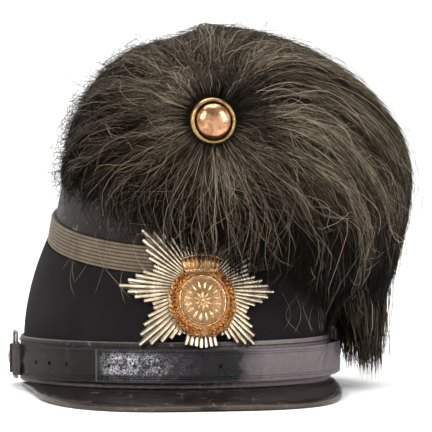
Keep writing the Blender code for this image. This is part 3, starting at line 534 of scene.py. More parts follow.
def leatherMaterial(name, look, extra=None):
    colour, worn, smooth, rough, grainMm, depth, scratchShare, shine = leatherLooks[look]
    material, tree, shader = startMaterial(name, Specular_IOR_Level=shine)
    where = objectSpace(tree)
    cloud = noiseOf(tree, where, 14.0, 5.0, 0.6)
    grain = noiseOf(tree, where, grainMm, 5.0, 0.65, 0.3)
    creases = noiseOf(tree, where, 5.5, 3.0, 0.5, 1.2)
    scratches = noiseOf(tree, objectSpace(tree, (0.12, 1.0, 1.0), (0, 0, 34)), 1.6, 2.0, 0.4, 0.5)
    scuffs = noiseOf(tree, objectSpace(tree, (1.0, 0.2, 0.6), (0, 20, -50)), 2.4, 2.0, 0.4, 0.9)
    marks = mathOf(tree, 'MAXIMUM', rampOf(tree, scratches, (0.69, 0.0), (0.73, 1.0)),
                   rampOf(tree, scuffs, (0.70, 0.0), (0.74, 1.0)))
    # long curved hairline scratches: contour lines of a broad, smooth noise, broken up by the creases
    contour = rampOf(tree, apart(tree, noiseOf(tree, where, 13.0, 1.0, 0.3), 0.5), (0.0, 1.0), (0.013, 0.0))
    arcs = times(tree, contour, rampOf(tree, creases, (0.50, 0.0), (0.62, 0.8)))
    marks = times(tree, mathOf(tree, 'MAXIMUM', marks, arcs), scratchShare)
    base = mixOf(tree, rampOf(tree, cloud, (0.38, 0.0), (0.72, 0.55)), colour, worn)
    base = mixOf(tree, rampOf(tree, grain, (0.45, 0.0), (0.75, 0.35)), base, worn)
    base = mixOf(tree, marks, base, toned(worn, 3.2))
    gloss = rampOf(tree, mixOf(tree, 0.5, cloud, grain), (0.30, smooth), (0.70, rough))
    normal = bumpOf(tree, grain, depth, 0.12)
    normal = bumpOf(tree, creases, depth * 0.8, 0.35, normal)
    if extra:
        base, gloss, normal = extra(tree, base, gloss, normal)
    base = mixOf(tree, times(tree, arcs, scratchShare * 0.7), base, toned(worn, 6.0))
    joinUp(tree, shader, Base_Color=base, Roughness=gloss, Normal=normal)
    return material


braidSet = {
    "lowRing": 5,  # of the shell's rings
    "highRing": 6,
    "halfWidth": 67.0,
    "halfLength": 86.0,
    "meanRadius": 77.0,
    "ribs": 8,
    "stitch": 1.15,
    "slant": 4.0,
}


def braidPlaces(piece):
    # Each point's place among the ribs, and in mm round the braid from the front.
    low, high = shell["rings"][braidSet["lowRing"]], shell["rings"][braidSet["highRing"]]
    hat = toHat(meshPoints(piece))
    reach = hat[:, 1] - (low[1] + low[2]) / 2
    turn = np.arctan2(hat[:, 0] / braidSet["halfWidth"], -reach / braidSet["halfLength"])
    share = (hat[:, 2] - low[3] - math.tan(math.radians(low[4])) * reach) / (high[3] - low[3])
    addValues(piece.data, "braidRib", share * braidSet["ribs"])
    addValues(piece.data, "braidRound", np.abs(turn) * braidSet["meanRadius"])


def braidMaterial():
    # Silver thread, dusty grey and brown: rows of small slanting stitches, with painted shade between the
    # stitches and in the gaps between the ribs.
    material, tree, shader = startMaterial("silverThread", Roughness=0.5, Specular_IOR_Level=0.2)
    around, rib = valueOf(tree, "braidRound"), valueOf(tree, "braidRib")
    wrinkle = noiseOf(tree, objectSpace(tree), 3.0, 3.0)
    phase = mathOf(tree, 'ADD', times(tree, around, math.tau / braidSet["stitch"]),
                   times(tree, rib, braidSet["slant"]))
    phase = mathOf(tree, 'ADD', phase, times(tree, wrinkle, 5.0))
    stitch = scaled(tree, mathOf(tree, 'SINE', phase), 0.5, 0.5)
    gap = scaled(tree, mathOf(tree, 'COSINE', times(tree, rib, math.tau)), 0.5, 0.5)
    dust = noiseOf(tree, objectSpace(tree), 9.0, 4.0)
    dusty = rampOf(tree, dust, (0.3, 0.0), (0.7, 1.0))
    base = mixOf(tree, dusty, (0.122, 0.088, 0.050), (0.228, 0.170, 0.103))
    # painted shade between the stitches
    base = mixOf(tree, rampOf(tree, stitch, (0.0, 0.95), (0.65, 0.0)), base, (0.060, 0.044, 0.032))
    # painted shade in the gaps between the ribs
    base = mixOf(tree, rampOf(tree, gap, (0.50, 0.0), (0.90, 0.97)), base, (0.020, 0.015, 0.012))
    joinUp(tree, shader, Base_Color=base, Normal=bumpOf(tree, stitch, 0.6, 0.3))
    return material


stitchSet = {"height": 21.2, "pitch": 2.4, "length": 1.6, "radius": 0.30, "sunk": 0.05}


def bandRub(tree, base, gloss, normal):
    # Paler towards the wearer's left, with pale top and foot edges and a pressed seam line.
    around, up = wrapSpace(tree)
    dusty = noiseOf(tree, objectSpace(tree), 3.0, 5.0, 0.65)
    place = mathOf(tree, 'ADD', around, scaled(tree, dusty, 40.0, -20.0))
    wearAndSheen = rampOf(tree, scaled(tree, place, 0.002, 0.5), (0.50, 0.0), (0.57, 1.0), (0.66, 0.9), (0.86, 0.0))
    base = mixOf(tree, wearAndSheen, base, mixOf(tree, dusty, (0.085, 0.068, 0.069), (0.230, 0.196, 0.196)))
    edge = rampOf(tree, times(tree, up, 0.02), (0.452, 0.0), (0.466, 0.8))
    base = mixOf(tree, times(tree, edge, dusty), base, (0.20, 0.175, 0.175))
    foot = rampOf(tree, times(tree, up, 0.1), (0.12, 0.9), (0.20, 0.0))
    base = mixOf(tree, times(tree, foot, dusty), base, (0.22, 0.185, 0.165))
    seam = rampOf(tree, apart(tree, up, stitchSet["height"]), (0.0, 1.0), (0.55, 0.0))
    base = mixOf(tree, times(tree, seam, 0.85), base, (0.007, 0.005, 0.005))
    return base, gloss, normal


dressNode("crown_body", "clothCrown", clothMaterial(), "cloth", 40.0, 2)
dressNode("top_cap", "leatherTop", leatherMaterial("blackTopLeather", "black"), "black_leather", 40.0, 2)
dressNode("braid_band", "silverBraid", braidMaterial(), "braid", 75.0, 1, [braidPlaces])
dressNode("base_band", "rimBand", leatherMaterial("greyRimLeather", "grey", bandRub), "grey_leather", 40.0, 2,
          [wrapAround])


# Stitches along the rim band

def bandPoint(turn, lift):
    halfWidth, halfLength = shell["bandHalfWidth"], shell["bandHalfLength"]
    out = unit(np.stack([np.sin(turn) / halfWidth, -np.cos(turn) / halfLength, turn * 0.0], -1))
    onBand = np.stack([halfWidth * np.sin(turn), -halfLength * np.cos(turn), turn * 0.0], -1)
    return onBand + out * lift, out


def bandTurns(pitch):
    # Turns round the band that are one pitch apart along it.
    fine = np.linspace(-math.pi, math.pi, 4000)
    steps = np.linalg.norm(np.diff(bandPoint(fine, 0.0)[0], axis=0), axis=1)
    run = np.concatenate(([0.0], np.cumsum(steps)))
    return np.interp(np.arange(0.0, run[-1], pitch), run, fine)


def threadMaterial():
    material, tree, shader = startMaterial("darkThread", Roughness=0.7)
    strand = noiseOf(tree, objectSpace(tree), 0.5, 3.0)
    base = mixOf(tree, rampOf(tree, strand, (0.35, 0.0), (0.65, 1.0)), (0.0054, 0.00405, 0.0036),
                 (0.012, 0.009, 0.008))
    joinUp(tree, shader, Base_Color=base, Normal=bumpOf(tree, strand, 0.5, 0.1))
    return material


def makeStitches(spec):
    shape, faces = templateArrays(newBall(6, 4, 1.0, poleAlongX=True))
    shape = shape * (spec["length"] / 2, spec["radius"], spec["radius"])
    origins, out = bandPoint(bandTurns(spec["pitch"]), -spec["sunk"])
    origins[:, 2] = spec["height"]
    along = np.stack([-out[:, 1], out[:, 0], out[:, 2]], -1)
    axes = np.stack([along, out, np.tile((0.0, 0.0, 1.0), (len(out), 1))], 1)
    placed = origins[:, None] + np.einsum('pk,nkj->npj', shape, axes)
    points, triangles = joinArrays([(stitch, faces) for stitch in placed])
    settle(arrayPiece("rimStitches", points, [triangles], threadMaterial()), "grey_leather")


makeStitches(stitchSet)


# Peak
print("stage: peak")

peakSet = {
    "halfWidth": 81.0,
    "startY": -16.0,
    "frontY": -141.5,
    "squareness": 3.1,
    "shiftX": -2.2,
    "groove": 2.6,  # in from the outer edge
}


def peakInward(piece):
    # Each point's distance from the peak's outer edge.
    around = np.linspace(-math.pi / 2, math.pi / 2, 400)
    power = 2.0 / peakSet["squareness"]
    width = peakSet["halfWidth"] * np.sign(around) * np.abs(np.sin(around)) ** power
    reach = (peakSet["startY"] - peakSet["frontY"]) * np.abs(np.cos(around)) ** power
    outline = np.stack([width + peakSet["shiftX"], peakSet["startY"] - reach], 1)
    hat = toHat(meshPoints(piece))
    addValues(piece.data, "peakInward", [np.min(np.hypot(*(outline - point[:2]).T)) for point in hat])


def peakEdge(tree, base, gloss, normal):
    # Brown, rubbed leather along the outer edge, and a pressed groove just inside it.
    inward = valueOf(tree, "peakInward")
    ragged = noiseOf(tree, objectSpace(tree), 4.0, 4.0)
    place = mathOf(tree, 'SUBTRACT', inward, times(tree, ragged, 1.6))
    wearAndSheen = rampOf(tree, times(tree, place, 0.1), (0.0, 1.0), (0.075, 0.0))
    base = mixOf(tree, times(tree, wearAndSheen, 0.6), base, (0.075, 0.055, 0.043))
    spots = noiseOf(tree, objectSpace(tree, (0.5, 1.0, 1.0)), 6.0, 6.0, 0.7)
    nearEdge = rampOf(tree, times(tree, inward, 0.02), (0.0, 1.0), (0.22, 0.0))
    brown = times(tree, rampOf(tree, spots, (0.63, 0.0), (0.69, 0.8)), nearEdge)
    base = mixOf(tree, brown, base, (0.19, 0.11, 0.062))
    groove = rampOf(tree, apart(tree, inward, peakSet["groove"]), (0.0, 0.0), (0.5, 1.0))
    return base, gloss, bumpOf(tree, groove, 0.35, 0.4, normal)


dressNode("peak", "leatherPeak", leatherMaterial("peakLeather", "peak", peakEdge), "peak_leather", 50.0, 1,
          [peakInward])


# Chin strap, loops, tabs and studs
print("stage: chin strap")

strapSet = {
    "middle": 11.5,  # height of its middle line
    "lines": (5.6, 6.7),  # pressed lines, from the middle line
    "glareMiddle": 12.3,
    "squareEnd": 0.2565,  # as a share of 250 mm round the hat
}


def strapDetail(tree, base, gloss, normal):
    # Pressed lines along both edges, darkened with painted shade in their grooves; the edges are worn.
    up = wrapSpace(tree)[1]
    fromMiddle = apart(tree, up, strapSet["middle"])
    for place in strapSet["lines"]:
        line = rampOf(tree, apart(tree, fromMiddle, place), (0.0, 0.0), (0.42, 1.0))
        normal = bumpOf(tree, line, 0.5, 0.35, normal)
        # painted shade in the pressed grooves
        base = mixOf(tree, scaled(tree, line, -0.35, 0.35), base, (0.004, 0.004, 0.005))
    edge = rampOf(tree, times(tree, fromMiddle, 0.1), (0.795, 0.0), (0.83, 0.6))
    return mixOf(tree, edge, base, (0.060, 0.045, 0.038)), gloss, normal


def patentDetail(tree, base, gloss, normal):
    # Cracked glossy leather in front, a painted reflection in mottled grey towards the wearer's left, dull
    # under layer on the right.
    around, up = wrapSpace(tree)
    where = objectSpace(tree)
    span = scaled(tree, around, 0.004, 0.5)
    ragged = scaled(tree, noiseOf(tree, where, 9.0, 4.0), 24.0, -12.0)
    place = scaled(tree, mathOf(tree, 'ADD', around, ragged), 0.004, 0.5)
    # painted reflection of the lamp on the wearer's left, mottled grey and duller
    wearAndSheen = rampOf(tree, place, (0.575, 0.0), (0.635, 1.0))
    dusty = noiseOf(tree, where, 2.2, 5.0, 0.65)
    base = mixOf(tree, wearAndSheen, base, mixOf(tree, dusty, (0.080, 0.065, 0.069), (0.180, 0.150, 0.158)))
    gloss = mixOf(tree, wearAndSheen, gloss, (0.55, 0.55, 0.55))
    under = rampOf(tree, span, (0.252, 1.0), (0.256, 0.0))
    base = mixOf(tree, under, base, mixOf(tree, dusty, (0.0045, 0.0035, 0.0033), (0.0130, 0.0100, 0.0092)))
    gloss = mixOf(tree, under, gloss, (0.62, 0.62, 0.62))
    # painted highlight: the crazed lacquer's glare, in patches behind the square end
    paintedGlare = rampOf(tree, span, (0.262, 0.0), (0.295, 1.0), (0.36, 0.85), (0.43, 0.12), (0.50, 0.0))
    crazed = rampOf(tree, noiseOf(tree, where, 0.95, 6.0, 0.8, 0.3), (0.46, 0.0), (0.60, 1.0))
    glarePatches = rampOf(tree, noiseOf(tree, where, 6.0, 4.0, 0.6, 0.5), (0.36, 0.20), (0.56, 1.0))
    fromMiddle = times(tree, apart(tree, up, strapSet["glareMiddle"]), 0.1)
    paintedGlare = times(tree, times(tree, paintedGlare, rampOf(tree, fromMiddle, (0.42, 1.0), (0.62, 0.12))), glarePatches)
    base = mixOf(tree, times(tree, paintedGlare, crazed), base, (0.62, 0.61, 0.67))
    base, gloss, normal = strapDetail(tree, base, gloss, normal)
    # painted highlight: the square cut end, which faces the light, as a pale line
    cutEndHighlight = rampOf(tree, apart(tree, span, strapSet["squareEnd"]), (0.0, 0.6), (0.0011, 0.0))
    base = mixOf(tree, cutEndHighlight, base, (0.11, 0.095, 0.095))
    crackle = addNode(tree, "ShaderNodeTexVoronoi", {"Vector": where, "Scale": 1.0 / (1.5 * mm)},
                      feature='DISTANCE_TO_EDGE').outputs["Distance"]
    normal = bumpOf(tree, rampOf(tree, crackle, (0.0, 0.0), (0.12, 1.0)), 0.25, 0.25, normal)
    normal = bumpOf(tree, noiseOf(tree, where, 3.2, 4.0, 0.6), 0.5, 0.5, normal)
    return base, gloss, normal


def roundNormals(piece):
    # Faces that lie along the hat's round take its normals, so the holes leave no dents in the light.
    mesh = piece.data
    hat = toHat(meshPoints(piece))
    oval = np.array((shell["bandHalfWidth"], shell["bandHalfLength"], math.inf))
    way = unit(hat / oval ** 2)
    way = unit(toRow(hat + way) - toRow(hat))[fetch(mesh.loops, "vertex_index", np.int32)]
    corners = np.zeros(len(mesh.loops) * 3, np.float32)
    mesh.corner_normals.foreach_get("vector", corners)
    faces = fetch(mesh.polygons, "normal", np.float32, 3)
    facing = np.repeat(faces, fetch(mesh.polygons, "loop_total", np.int32), axis=0)
    along = np.sum(facing * way, -1)[:, None]
    normals = np.where(np.abs(along) > 0.93, way * np.sign(along), corners.reshape(-1, 3))
    mesh.normals_split_custom_set([tuple(normal) for normal in normals])


metalLooks = {
    # bright and dull colour, roughness low and high, size of its clouds, bump depth
    "tarnishedSteel": ((0.34, 0.30, 0.26), (0.12, 0.06, 0.035), 0.32, 0.62, 3.0, 0.15),
    "studBrass": ((0.55, 0.42, 0.22), (0.20, 0.14, 0.08), 0.30, 0.50, 3.0, 0.15),
    "champagneSilver": ((0.78, 0.69, 0.55), (0.44, 0.365, 0.265), 0.20, 0.42, 5.0, 0.12),
    "copperGilt": ((0.96, 0.67, 0.37), (0.70, 0.44, 0.22), 0.26, 0.48, 3.0, 0.6),
    "rimBrass": ((0.37, 0.26, 0.105), (0.15, 0.095, 0.034), 0.16, 0.40, 4.0, 0.2),
    "buttonCopper": ((0.60, 0.33, 0.185), (0.18, 0.078, 0.036), 0.12, 0.30, 4.0, 0.35),
}


def wornMetal(name, dirtAndShadeColour=None, pits=0.0):
    # With a dirt and shade colour, the hollows that the relief value marks are filled with old dirt and
    # painted shade.
    bright, dull, low, high, sizeMm, bumpDepth = metalLooks[name]
    material, tree, shader = startMaterial(name, Metallic=1.0)
    where = objectSpace(tree)
    cloud = noiseOf(tree, where, sizeMm, 5.0, 0.6)
    fine = noiseOf(tree, where, 0.8, 4.0, 0.6)
    colour = mixOf(tree, rampOf(tree, cloud, (0.35, 0.0), (0.7, 1.0)), bright, dull)
    gloss = rampOf(tree, mixOf(tree, 0.4, cloud, fine), (0.3, low), (0.7, high))
    if dirtAndShadeColour:
        dirtAndShadeMask = rampOf(tree, valueOf(tree, "relief"), (0.0, 0.92), (0.50, 0.0))
        colour = mixOf(tree, dirtAndShadeMask, colour, dirtAndShadeColour)
    if pits:
        pitted = rampOf(tree, noiseOf(tree, where, 1.0, 3.0, 0.6), (0.44, pits), (0.53, 0.0))
        colour = mixOf(tree, pitted, colour, toned(dull, 0.30))
    joinUp(tree, shader, Base_Color=colour, Roughness=gloss, Normal=bumpOf(tree, fine, 0.25, bumpDepth))
    return material


def makeStrap():
    onStrap = [wrapAround, roundNormals]
    dressNode("strap_long", "chinStrap", leatherMaterial("patentStrapLeather", "patent", patentDetail),
              "patent_leather", changes=onStrap)
    dressNode("strap_left", "shortStrap", leatherMaterial("brownStrapLeather", "brown", strapDetail),
              "grey_leather", changes=onStrap)
    tabLeather = leatherMaterial("tabLeather", "grey")
    steel, brass = wornMetal("tarnishedSteel"), wornMetal("studBrass")
    for side in ("left", "right"):
        dressNode(f"tab_{side}", f"{side}Tab", tabLeather, "grey_leather")
    for side in ("left", "right"):
        dressNode(f"side_loop_{side}", f"{side}Loop", steel, "loop_steel", 75.0, 2)
        dressNode(f"tab_stud_{side}", f"{side}Stud", brass, "stud_brass")


makeStrap()


# Star
print("stage: star")

starSet = {
    "centre": (0.0, -94.7, 49.7),
    "leanDeg": 15.0,
    "bendRadius": 72.0,
    "turnDeg": -3.0,
    "pointLengths": (39.0, 40.0, 39.0, 41.8, 40.4, 43.0, 30.2, 39.4),
    "valleyLength": 24.5,
    "rodsPerPoint": 9,
    "flatPoint": 6,  # the one under the medallion ends square
    "flatRods": 3,  # on each side of its middle rod
    "uneven": 0.35,
    "rodWidth": 2.15,
    "rodFill": 0.96,  # share of a rod's pitch that it takes up
    "rodCuts": (0.25, 0.5, 0.75),
    "innerRadius": 9.0,
    "dishRadius": 20.0,
    "dishSlope": 0.05,
    "plateLift": 0.9,
    "rodLift": 2.7,
    # colour of old dirt and painted shade low between the rods
    "hollowDirtAndShade": (0.088, 0.073, 0.053),
}
starLean = math.radians(starSet["leanDeg"])
starUp = np.array((0.0, math.sin(starLean), math.cos(starLean)))
starAway = np.array((0.0, -math.cos(starLean), math.sin(starLean)))


def starBend(u):
    return np.stack([u * 0.0, u * u / (2.0 * starSet["bendRadius"]), u * 0.0], -1)


def starPlace(u, v, lift):
    u, v, lift = np.asarray(u, float), np.asarray(v, float), np.asarray(lift, float)
    flat = starBend(u)
    flat[..., 0] = u
    return np.array(starSet["centre"]) + flat + starUp * v[..., None] + starAway * lift[..., None]


def rodLengths(spec):
    each = spec["rodsPerPoint"]
    rod = np.arange(each * len(spec["pointLengths"]))
    point = (rod + each // 2) // each % len(spec["pointLengths"])
    offset = np.abs((rod + each // 2) % each - each // 2)
    longest = np.array(spec["pointLengths"])[point]
    flat = (point == spec["flatPoint"]) & (offset <= spec["flatRods"])
    return np.where(flat, longest, longest - (longest - spec["valleyLength"]) * offset / (each / 2))


def rodTemplate(cuts):
    # One bar of unit length, width and height: round on top, with a square-cut, bevelled end.
    bpy.ops.object.select_all(action='DESELECT')
    bpy.ops.mesh.primitive_cylinder_add(vertices=12, radius=1.0, depth=1.0, end_fill_type='NGON')
    rod = bpy.context.object
    rod.rotation_euler = (0.0, math.pi / 2, 0.0)
    rod.location = (0.5, 0.0, 0.0)
    bpy.ops.object.transform_apply(location=True, rotation=True)
    bpy.ops.object.mode_set(mode='EDIT')
    bpy.ops.mesh.select_all(action='SELECT')
    bpy.ops.mesh.bisect(plane_co=(0, 0, 0), plane_no=(0, 0, 1), clear_inner=True, use_fill=True)
    bpy.ops.object.mode_set(mode='OBJECT')
    modifier = rod.modifiers.new("softEnds", 'BEVEL')
    modifier.width = 0.02
    modifier.segments = 1
    modifier.limit_method = 'ANGLE'
    modifier.angle_limit = math.radians(60)
    bpy.ops.object.modifier_apply(modifier=modifier.name)
    bpy.ops.object.mode_set(mode='EDIT')
    for cut in cuts:
        bpy.ops.mesh.select_all(action='SELECT')
        bpy.ops.mesh.bisect(plane_co=(cut, 0, 0), plane_no=(1, 0, 0))
    bpy.ops.object.mode_set(mode='OBJECT')
    return templateArrays(rod)


def starPlate(spec, lengths, angles, step):
    # The plate behind the rods: its outline has every rod's end and the valleys between them.
    outline = []
    for length, after, angle in zip(lengths, np.roll(lengths, -1), angles):
        half = min(0.48 * step, spec["rodWidth"] * 0.46 / length)
        outline += [(length - 0.3, angle - half), (length - 0.3, angle + half)]
        outline.append((min(length, after) - 1.2, angle + step / 2))
    radius, turn = np.array(outline).T
    thick = spec["plateLift"] + 0.15
    rings = []
    for share, lift in ((0.02, 0.0), (0.5, 0.0), (1.0, 0.0), (1.0, thick), (0.5, thick), (0.02, thick)):
        u, v = radius * share * np.cos(turn), radius * share * np.sin(turn)
        rings.append(starPlace(u, v, radius * 0.0 + lift))
    size = len(radius)
    pairs = ((1, 0), (2, 1), (3, 2), (4, 3), (5, 4), (0, 5))
    quads = np.concatenate([ringQuads(size, low * size, high * size) for low, high in pairs])
    return np.concatenate(rings), splitQuads(quads)


def makeStar(spec):
    shape, faces = rodTemplate(spec["rodCuts"])
    lengths = rodLengths(spec)
    step = math.tau / len(lengths)
    angles = math.radians(spec["turnDeg"]) + step * np.arange(len(lengths))
    lengths = lengths + np.random.default_rng(11).uniform(-spec["uneven"], spec["uneven"], len(lengths))
    parts = []
    for angle, length in zip(angles, lengths):
        radius = spec["innerRadius"] + shape[:, 0] * (length - spec["innerRadius"])
        side = shape[:, 1] * np.minimum(spec["rodWidth"], radius * step) * spec["rodFill"] / 2
        lift = spec["plateLift"] + shape[:, 2] * (spec["rodLift"] - spec["plateLift"])
        lift = lift - np.maximum(0.0, spec["dishRadius"] - radius) * spec["dishSlope"]
        u = radius * math.cos(angle) - side * math.sin(angle)
        v = radius * math.sin(angle) + side * math.cos(angle)
        parts.append((starPlace(u, v, lift), faces))
    plate = starPlate(spec, lengths, angles, step)
    points, triangles = joinArrays(parts + [plate])
    relief = np.concatenate([np.tile(shape[:, 2], len(lengths)), np.zeros(len(plate[0]))])
    silver = wornMetal("champagneSilver", spec["hollowDirtAndShade"])
    star = arrayPiece("rayStar", points, [triangles], silver, 35.0, {"relief": relief})
    settle(star, "star_silver", "star")


makeStar(starSet)


# Medallion
print("stage: medallion")

medalSet = {
    "lift": 3.1,
    "centreV": -6.6,
    "halfWidth": 17.0,
    "halfHeight": 18.9,
    "sides": 96,
    # share of the half sizes, height over the star, relief value (lower is darker: old dirt and painted
    # shade)
    "section": (
        (0.95, 0.0, 0.1), (0.95, 0.2, 0.1), (0.93, 0.4, 0.1), (0.88, 0.6, 0.1), (0.80, 0.65, 0.1),
        (0.75, 0.6, 0.1), (0.725, 0.9, 0.5), (0.71, 1.4, 0.5), (0.695, 1.55, 0.5), (0.68, 1.4, 0.5),
        (0.665, 0.95, 0.05), (0.65, 0.85, 0.05), (0.52, 1.15, 0.07), (0.36, 1.45, 0.07),
        (0.18, 1.6, 0.07),
    ),
    "wreathShare": 0.865,
    "wreathRadius": 17.5,  # which the leaves' offsets are shares of
    "wreathNodes": 19,
    "wreathFromDeg": 4.0,
    "wreathToDeg": 146.0,
    "leaf": (4.4, 1.9, 3.0),
    # offset across the wreath, lean in degrees, lift
    "leafRows": ((-2.3, -34.0, 0.55), (2.3, 34.0, 0.65), (-1.0, 24.0, 1.05), (1.1, -24.0, 1.15)),
    # petals in a ring of the rosette, share of the half sizes where they start, size of one, lift
    "rosette": ((16, 0.27, (5.6, 2.1, 1.0), 0.95), (10, 0.06, (4.2, 2.0, 1.2), 1.25)),
    "beadRing": (0.635, 72, 0.34),
    "crownLow": 8.3,
    "crownHigh": 17.4,
    "crownHalfWidth": 10.6,
    # share of the way up the crown's plate, height over the star
    "crownSection": ((0.0, 0.25), (0.0, 1.7), (0.3, 2.2), (0.7, 2.3), (0.95, 1.9), (1.0, 1.3), (1.0, 0.25)),
    "archRise": 2.6,
    "archTurn": 1.35,
    # colour of old dirt and painted shade in the medallion's hollows
    "hollowDirtAndShade": (0.19, 0.080, 0.028),
    "pits": 0.8,
}


def onOval(share, angle):
    # A place on the star's face, at a share of the medallion's half sizes.
    return (medalSet["halfWidth"] * share * np.cos(angle),
            medalSet["centreV"] + medalSet["halfHeight"] * share * np.sin(angle))


def leafTemplate():
    # A pointed leaf lying along X, 1 long, with a raised middle vein.
    leaf = newBall(8, 6, 0.5, poleAlongX=True)
    for vertex in leaf.data.vertices:
        point = vertex.co
        taper = 1.0 - 0.55 * abs(2.0 * point.x) ** 2
        point.y *= taper
        if point.z > 0.0 and abs(point.y) < 0.05:
            point.z += 0.18 * taper
        point.x += 0.5
    return templateArrays(leaf)


def onStarFace(template, items):
    # Lays copies of a template on the star's face: place, turn, size and lift over the medallion's foot.
    shape, faces = template
    parts = []
    for placeU, placeV, turn, size, lift in items:
        along, across = shape[:, 0] * size[0], shape[:, 1] * size[1]
        u = placeU + along * math.cos(turn) - across * math.sin(turn)
        v = placeV + along * math.sin(turn) + across * math.cos(turn)
        parts.append((starPlace(u, v, medalSet["lift"] + lift + shape[:, 2] * size[2]), faces))
    return parts, [np.clip(shape[:, 2] * 1.4 + 0.42, 0.0, 1.0)] * len(items)


def wreathLeaves(spec, rng):
    length, width, height = spec["leaf"]
    fromTurn, toTurn = math.radians(spec["wreathFromDeg"]), math.radians(spec["wreathToDeg"])
    leaves = []
    for side in (-1.0, 1.0):
        for reach in np.linspace(fromTurn, toTurn, spec["wreathNodes"]):
            angle = -math.pi / 2 + side * reach
            for offset, lean, over in spec["leafRows"]:
                place = onOval(spec["wreathShare"] * (1.0 + offset / spec["wreathRadius"]), angle)
                turn = angle + side * (math.pi / 2 + math.radians(lean)) + rng.uniform(-0.12, 0.12)
                size = (length * rng.uniform(0.85, 1.0), width * rng.uniform(0.85, 1.05), height)
                leaves.append((*place, turn, size, over + rng.uniform(-0.3, 0.4)))
    return leaves


def rosettePetals(spec):
    petals = []
    for count, start, size, over in spec["rosette"]:
        for angle in math.tau * (np.arange(count) + 0.5) / count:
            turn = math.atan2(spec["halfHeight"] * math.sin(angle), spec["halfWidth"] * math.cos(angle))
            petals.append((*onOval(start, angle), turn, size, over))
    return petals


def crownLeaves(spec):
    # Nine leaves that stand on the foot of the small crown.
    leaves = []
    for share in np.linspace(-1.0, 1.0, 9):
        v = spec["crownLow"] + 1.6 - 0.4 * share * share
        size = (7.0 - 1.3 * abs(share), 2.5, 1.9)
        leaves.append((7.6 * share, v, math.pi / 2 - 0.30 * share, size, 2.1))
    return leaves


def medalBeads(spec):
    # Place, radius and lift: a ring round the field, pearls over the crown's arches and along its foot, and
    # one each on its top and in the middle of the rosette.
    share, count, radius = spec["beadRing"]
    beads = [(*onOval(share, math.tau * k / count), radius, 1.15) for k in range(count)]
    for share in np.linspace(-1.0, 1.0, 19):
        v = spec["crownLow"] + 6.2 + spec["archRise"] * math.cos(share * spec["archTurn"])
        beads.append(((spec["crownHalfWidth"] - 0.4) * share, v, 0.72, 2.35))
    for share in np.linspace(-1.0, 1.0, 15):
        beads.append((8.2 * share, spec["crownLow"] + 0.9 - 0.5 * share * share, 0.62, 2.5))
    beads += [(0.0, spec["crownHigh"] - 0.2, 1.0, 2.2), (0.0, spec["centreV"], 1.3, 2.0)]
    return [(u, v, 0.0, (radius,) * 3, lift) for u, v, radius, lift in beads]


def medalDisc(spec):
    size = spec["sides"]
    around = math.tau * np.arange(size) / size
    rings = [starPlace(*onOval(share, around), around * 0.0 + spec["lift"] + high)
             for share, high, relief in spec["section"]]
    heights = (spec["section"][-1][1], 0.0)
    tops = [starPlace(*onOval(np.zeros(1), 0.0), [spec["lift"] + high]) for high in heights]
    points = np.concatenate(rings + tops)
    faces = [splitQuads(ringQuads(size, k * size, (k + 1) * size)) for k in range(len(rings) - 1)]
    faces.append(ringFan(size, (len(rings) - 1) * size, len(points) - 2))
    faces.append(ringFan(size, 0, len(points) - 1)[:, (1, 0, 2)])
    relief = np.repeat([row[2] for row in spec["section"]], size)
    return (points, np.concatenate(faces)), np.concatenate([relief, (0.6, 0.0)])


def crownPlate(spec):
    # The plate of the small crown: wider at the top, with a low arch.
    columns = 25
    share = np.linspace(-1.0, 1.0, columns)
    arch = spec["crownLow"] + 6.0 + spec["archRise"] * np.cos(share * spec["archTurn"])
    low = np.stack([spec["crownHalfWidth"] * 0.8 * share, spec["crownLow"] - 0.5 * share ** 2])
    high = np.stack([spec["crownHalfWidth"] * share, arch])
    rows = []
    for place, over in spec["crownSection"]:
        rows.append(starPlace(*(low + (high - low) * place), share * 0.0 + spec["lift"] + over))
    count = len(rows)
    faces = []
    for k in range(count):
        for c in range(columns - 1):
            a, b = k * columns + c, (k + 1) % count * columns + c
            faces += [(a, a + 1, b + 1), (a, b + 1, b)]
    for k in range(1, count - 1):
        left, after = k * columns, (k + 1) * columns
        faces += [(0, left, after), (columns - 1, after + columns - 1, left + columns - 1)]
    return np.concatenate(rows), np.array(faces)


def makeMedallion(spec):
    disc, relief = medalDisc(spec)
    rng = np.random.default_rng(5)
    leaves = wreathLeaves(spec, rng) + rosettePetals(spec) + crownLeaves(spec)
    leafParts, leafRelief = onStarFace(leafTemplate(), leaves)
    beadParts, beadRelief = onStarFace(templateArrays(newBall(8, 5, 1.0)), medalBeads(spec))
    plate = crownPlate(spec)
    points, triangles = joinArrays([disc] + leafParts + beadParts + [plate])
    relief = np.concatenate([relief] + leafRelief + beadRelief + [np.full(len(plate[0]), 0.15)])
    gilt = wornMetal("copperGilt", spec["hollowDirtAndShade"], spec["pits"])
    medallion = arrayPiece("wreathMedallion", points, [triangles], gilt, 50.0, {"relief": relief})
    settle(medallion, "medallion_gilt", "medallion")


makeMedallion(medalSet)


# Button on the plume
print("stage: button")

buttonSet = {
    "centre": (6.4, -93.0, 135.0),
    "axis": (0.10, -0.99, 0.08),
    "sides": 96,
    # radius, height over the rim's foot
    "rim": (
        (9.6, 0.0), (12.0, 0.0), (12.15, 0.9), (12.1, 1.8), (11.8, 2.7), (11.2, 3.35), (10.7, 3.6),
        (10.2, 3.4), (9.8, 2.9), (9.6, 2.0),
    ),
    "dome": (
        (9.3, 0.3), (9.3, 2.2), (9.15, 3.2), (8.7, 4.2), (7.9, 5.15), (6.7, 6.0), (5.2, 6.7), (3.5, 7.15),
        (1.7, 7.37),
    ),
    "domeTop": 7.4,
}


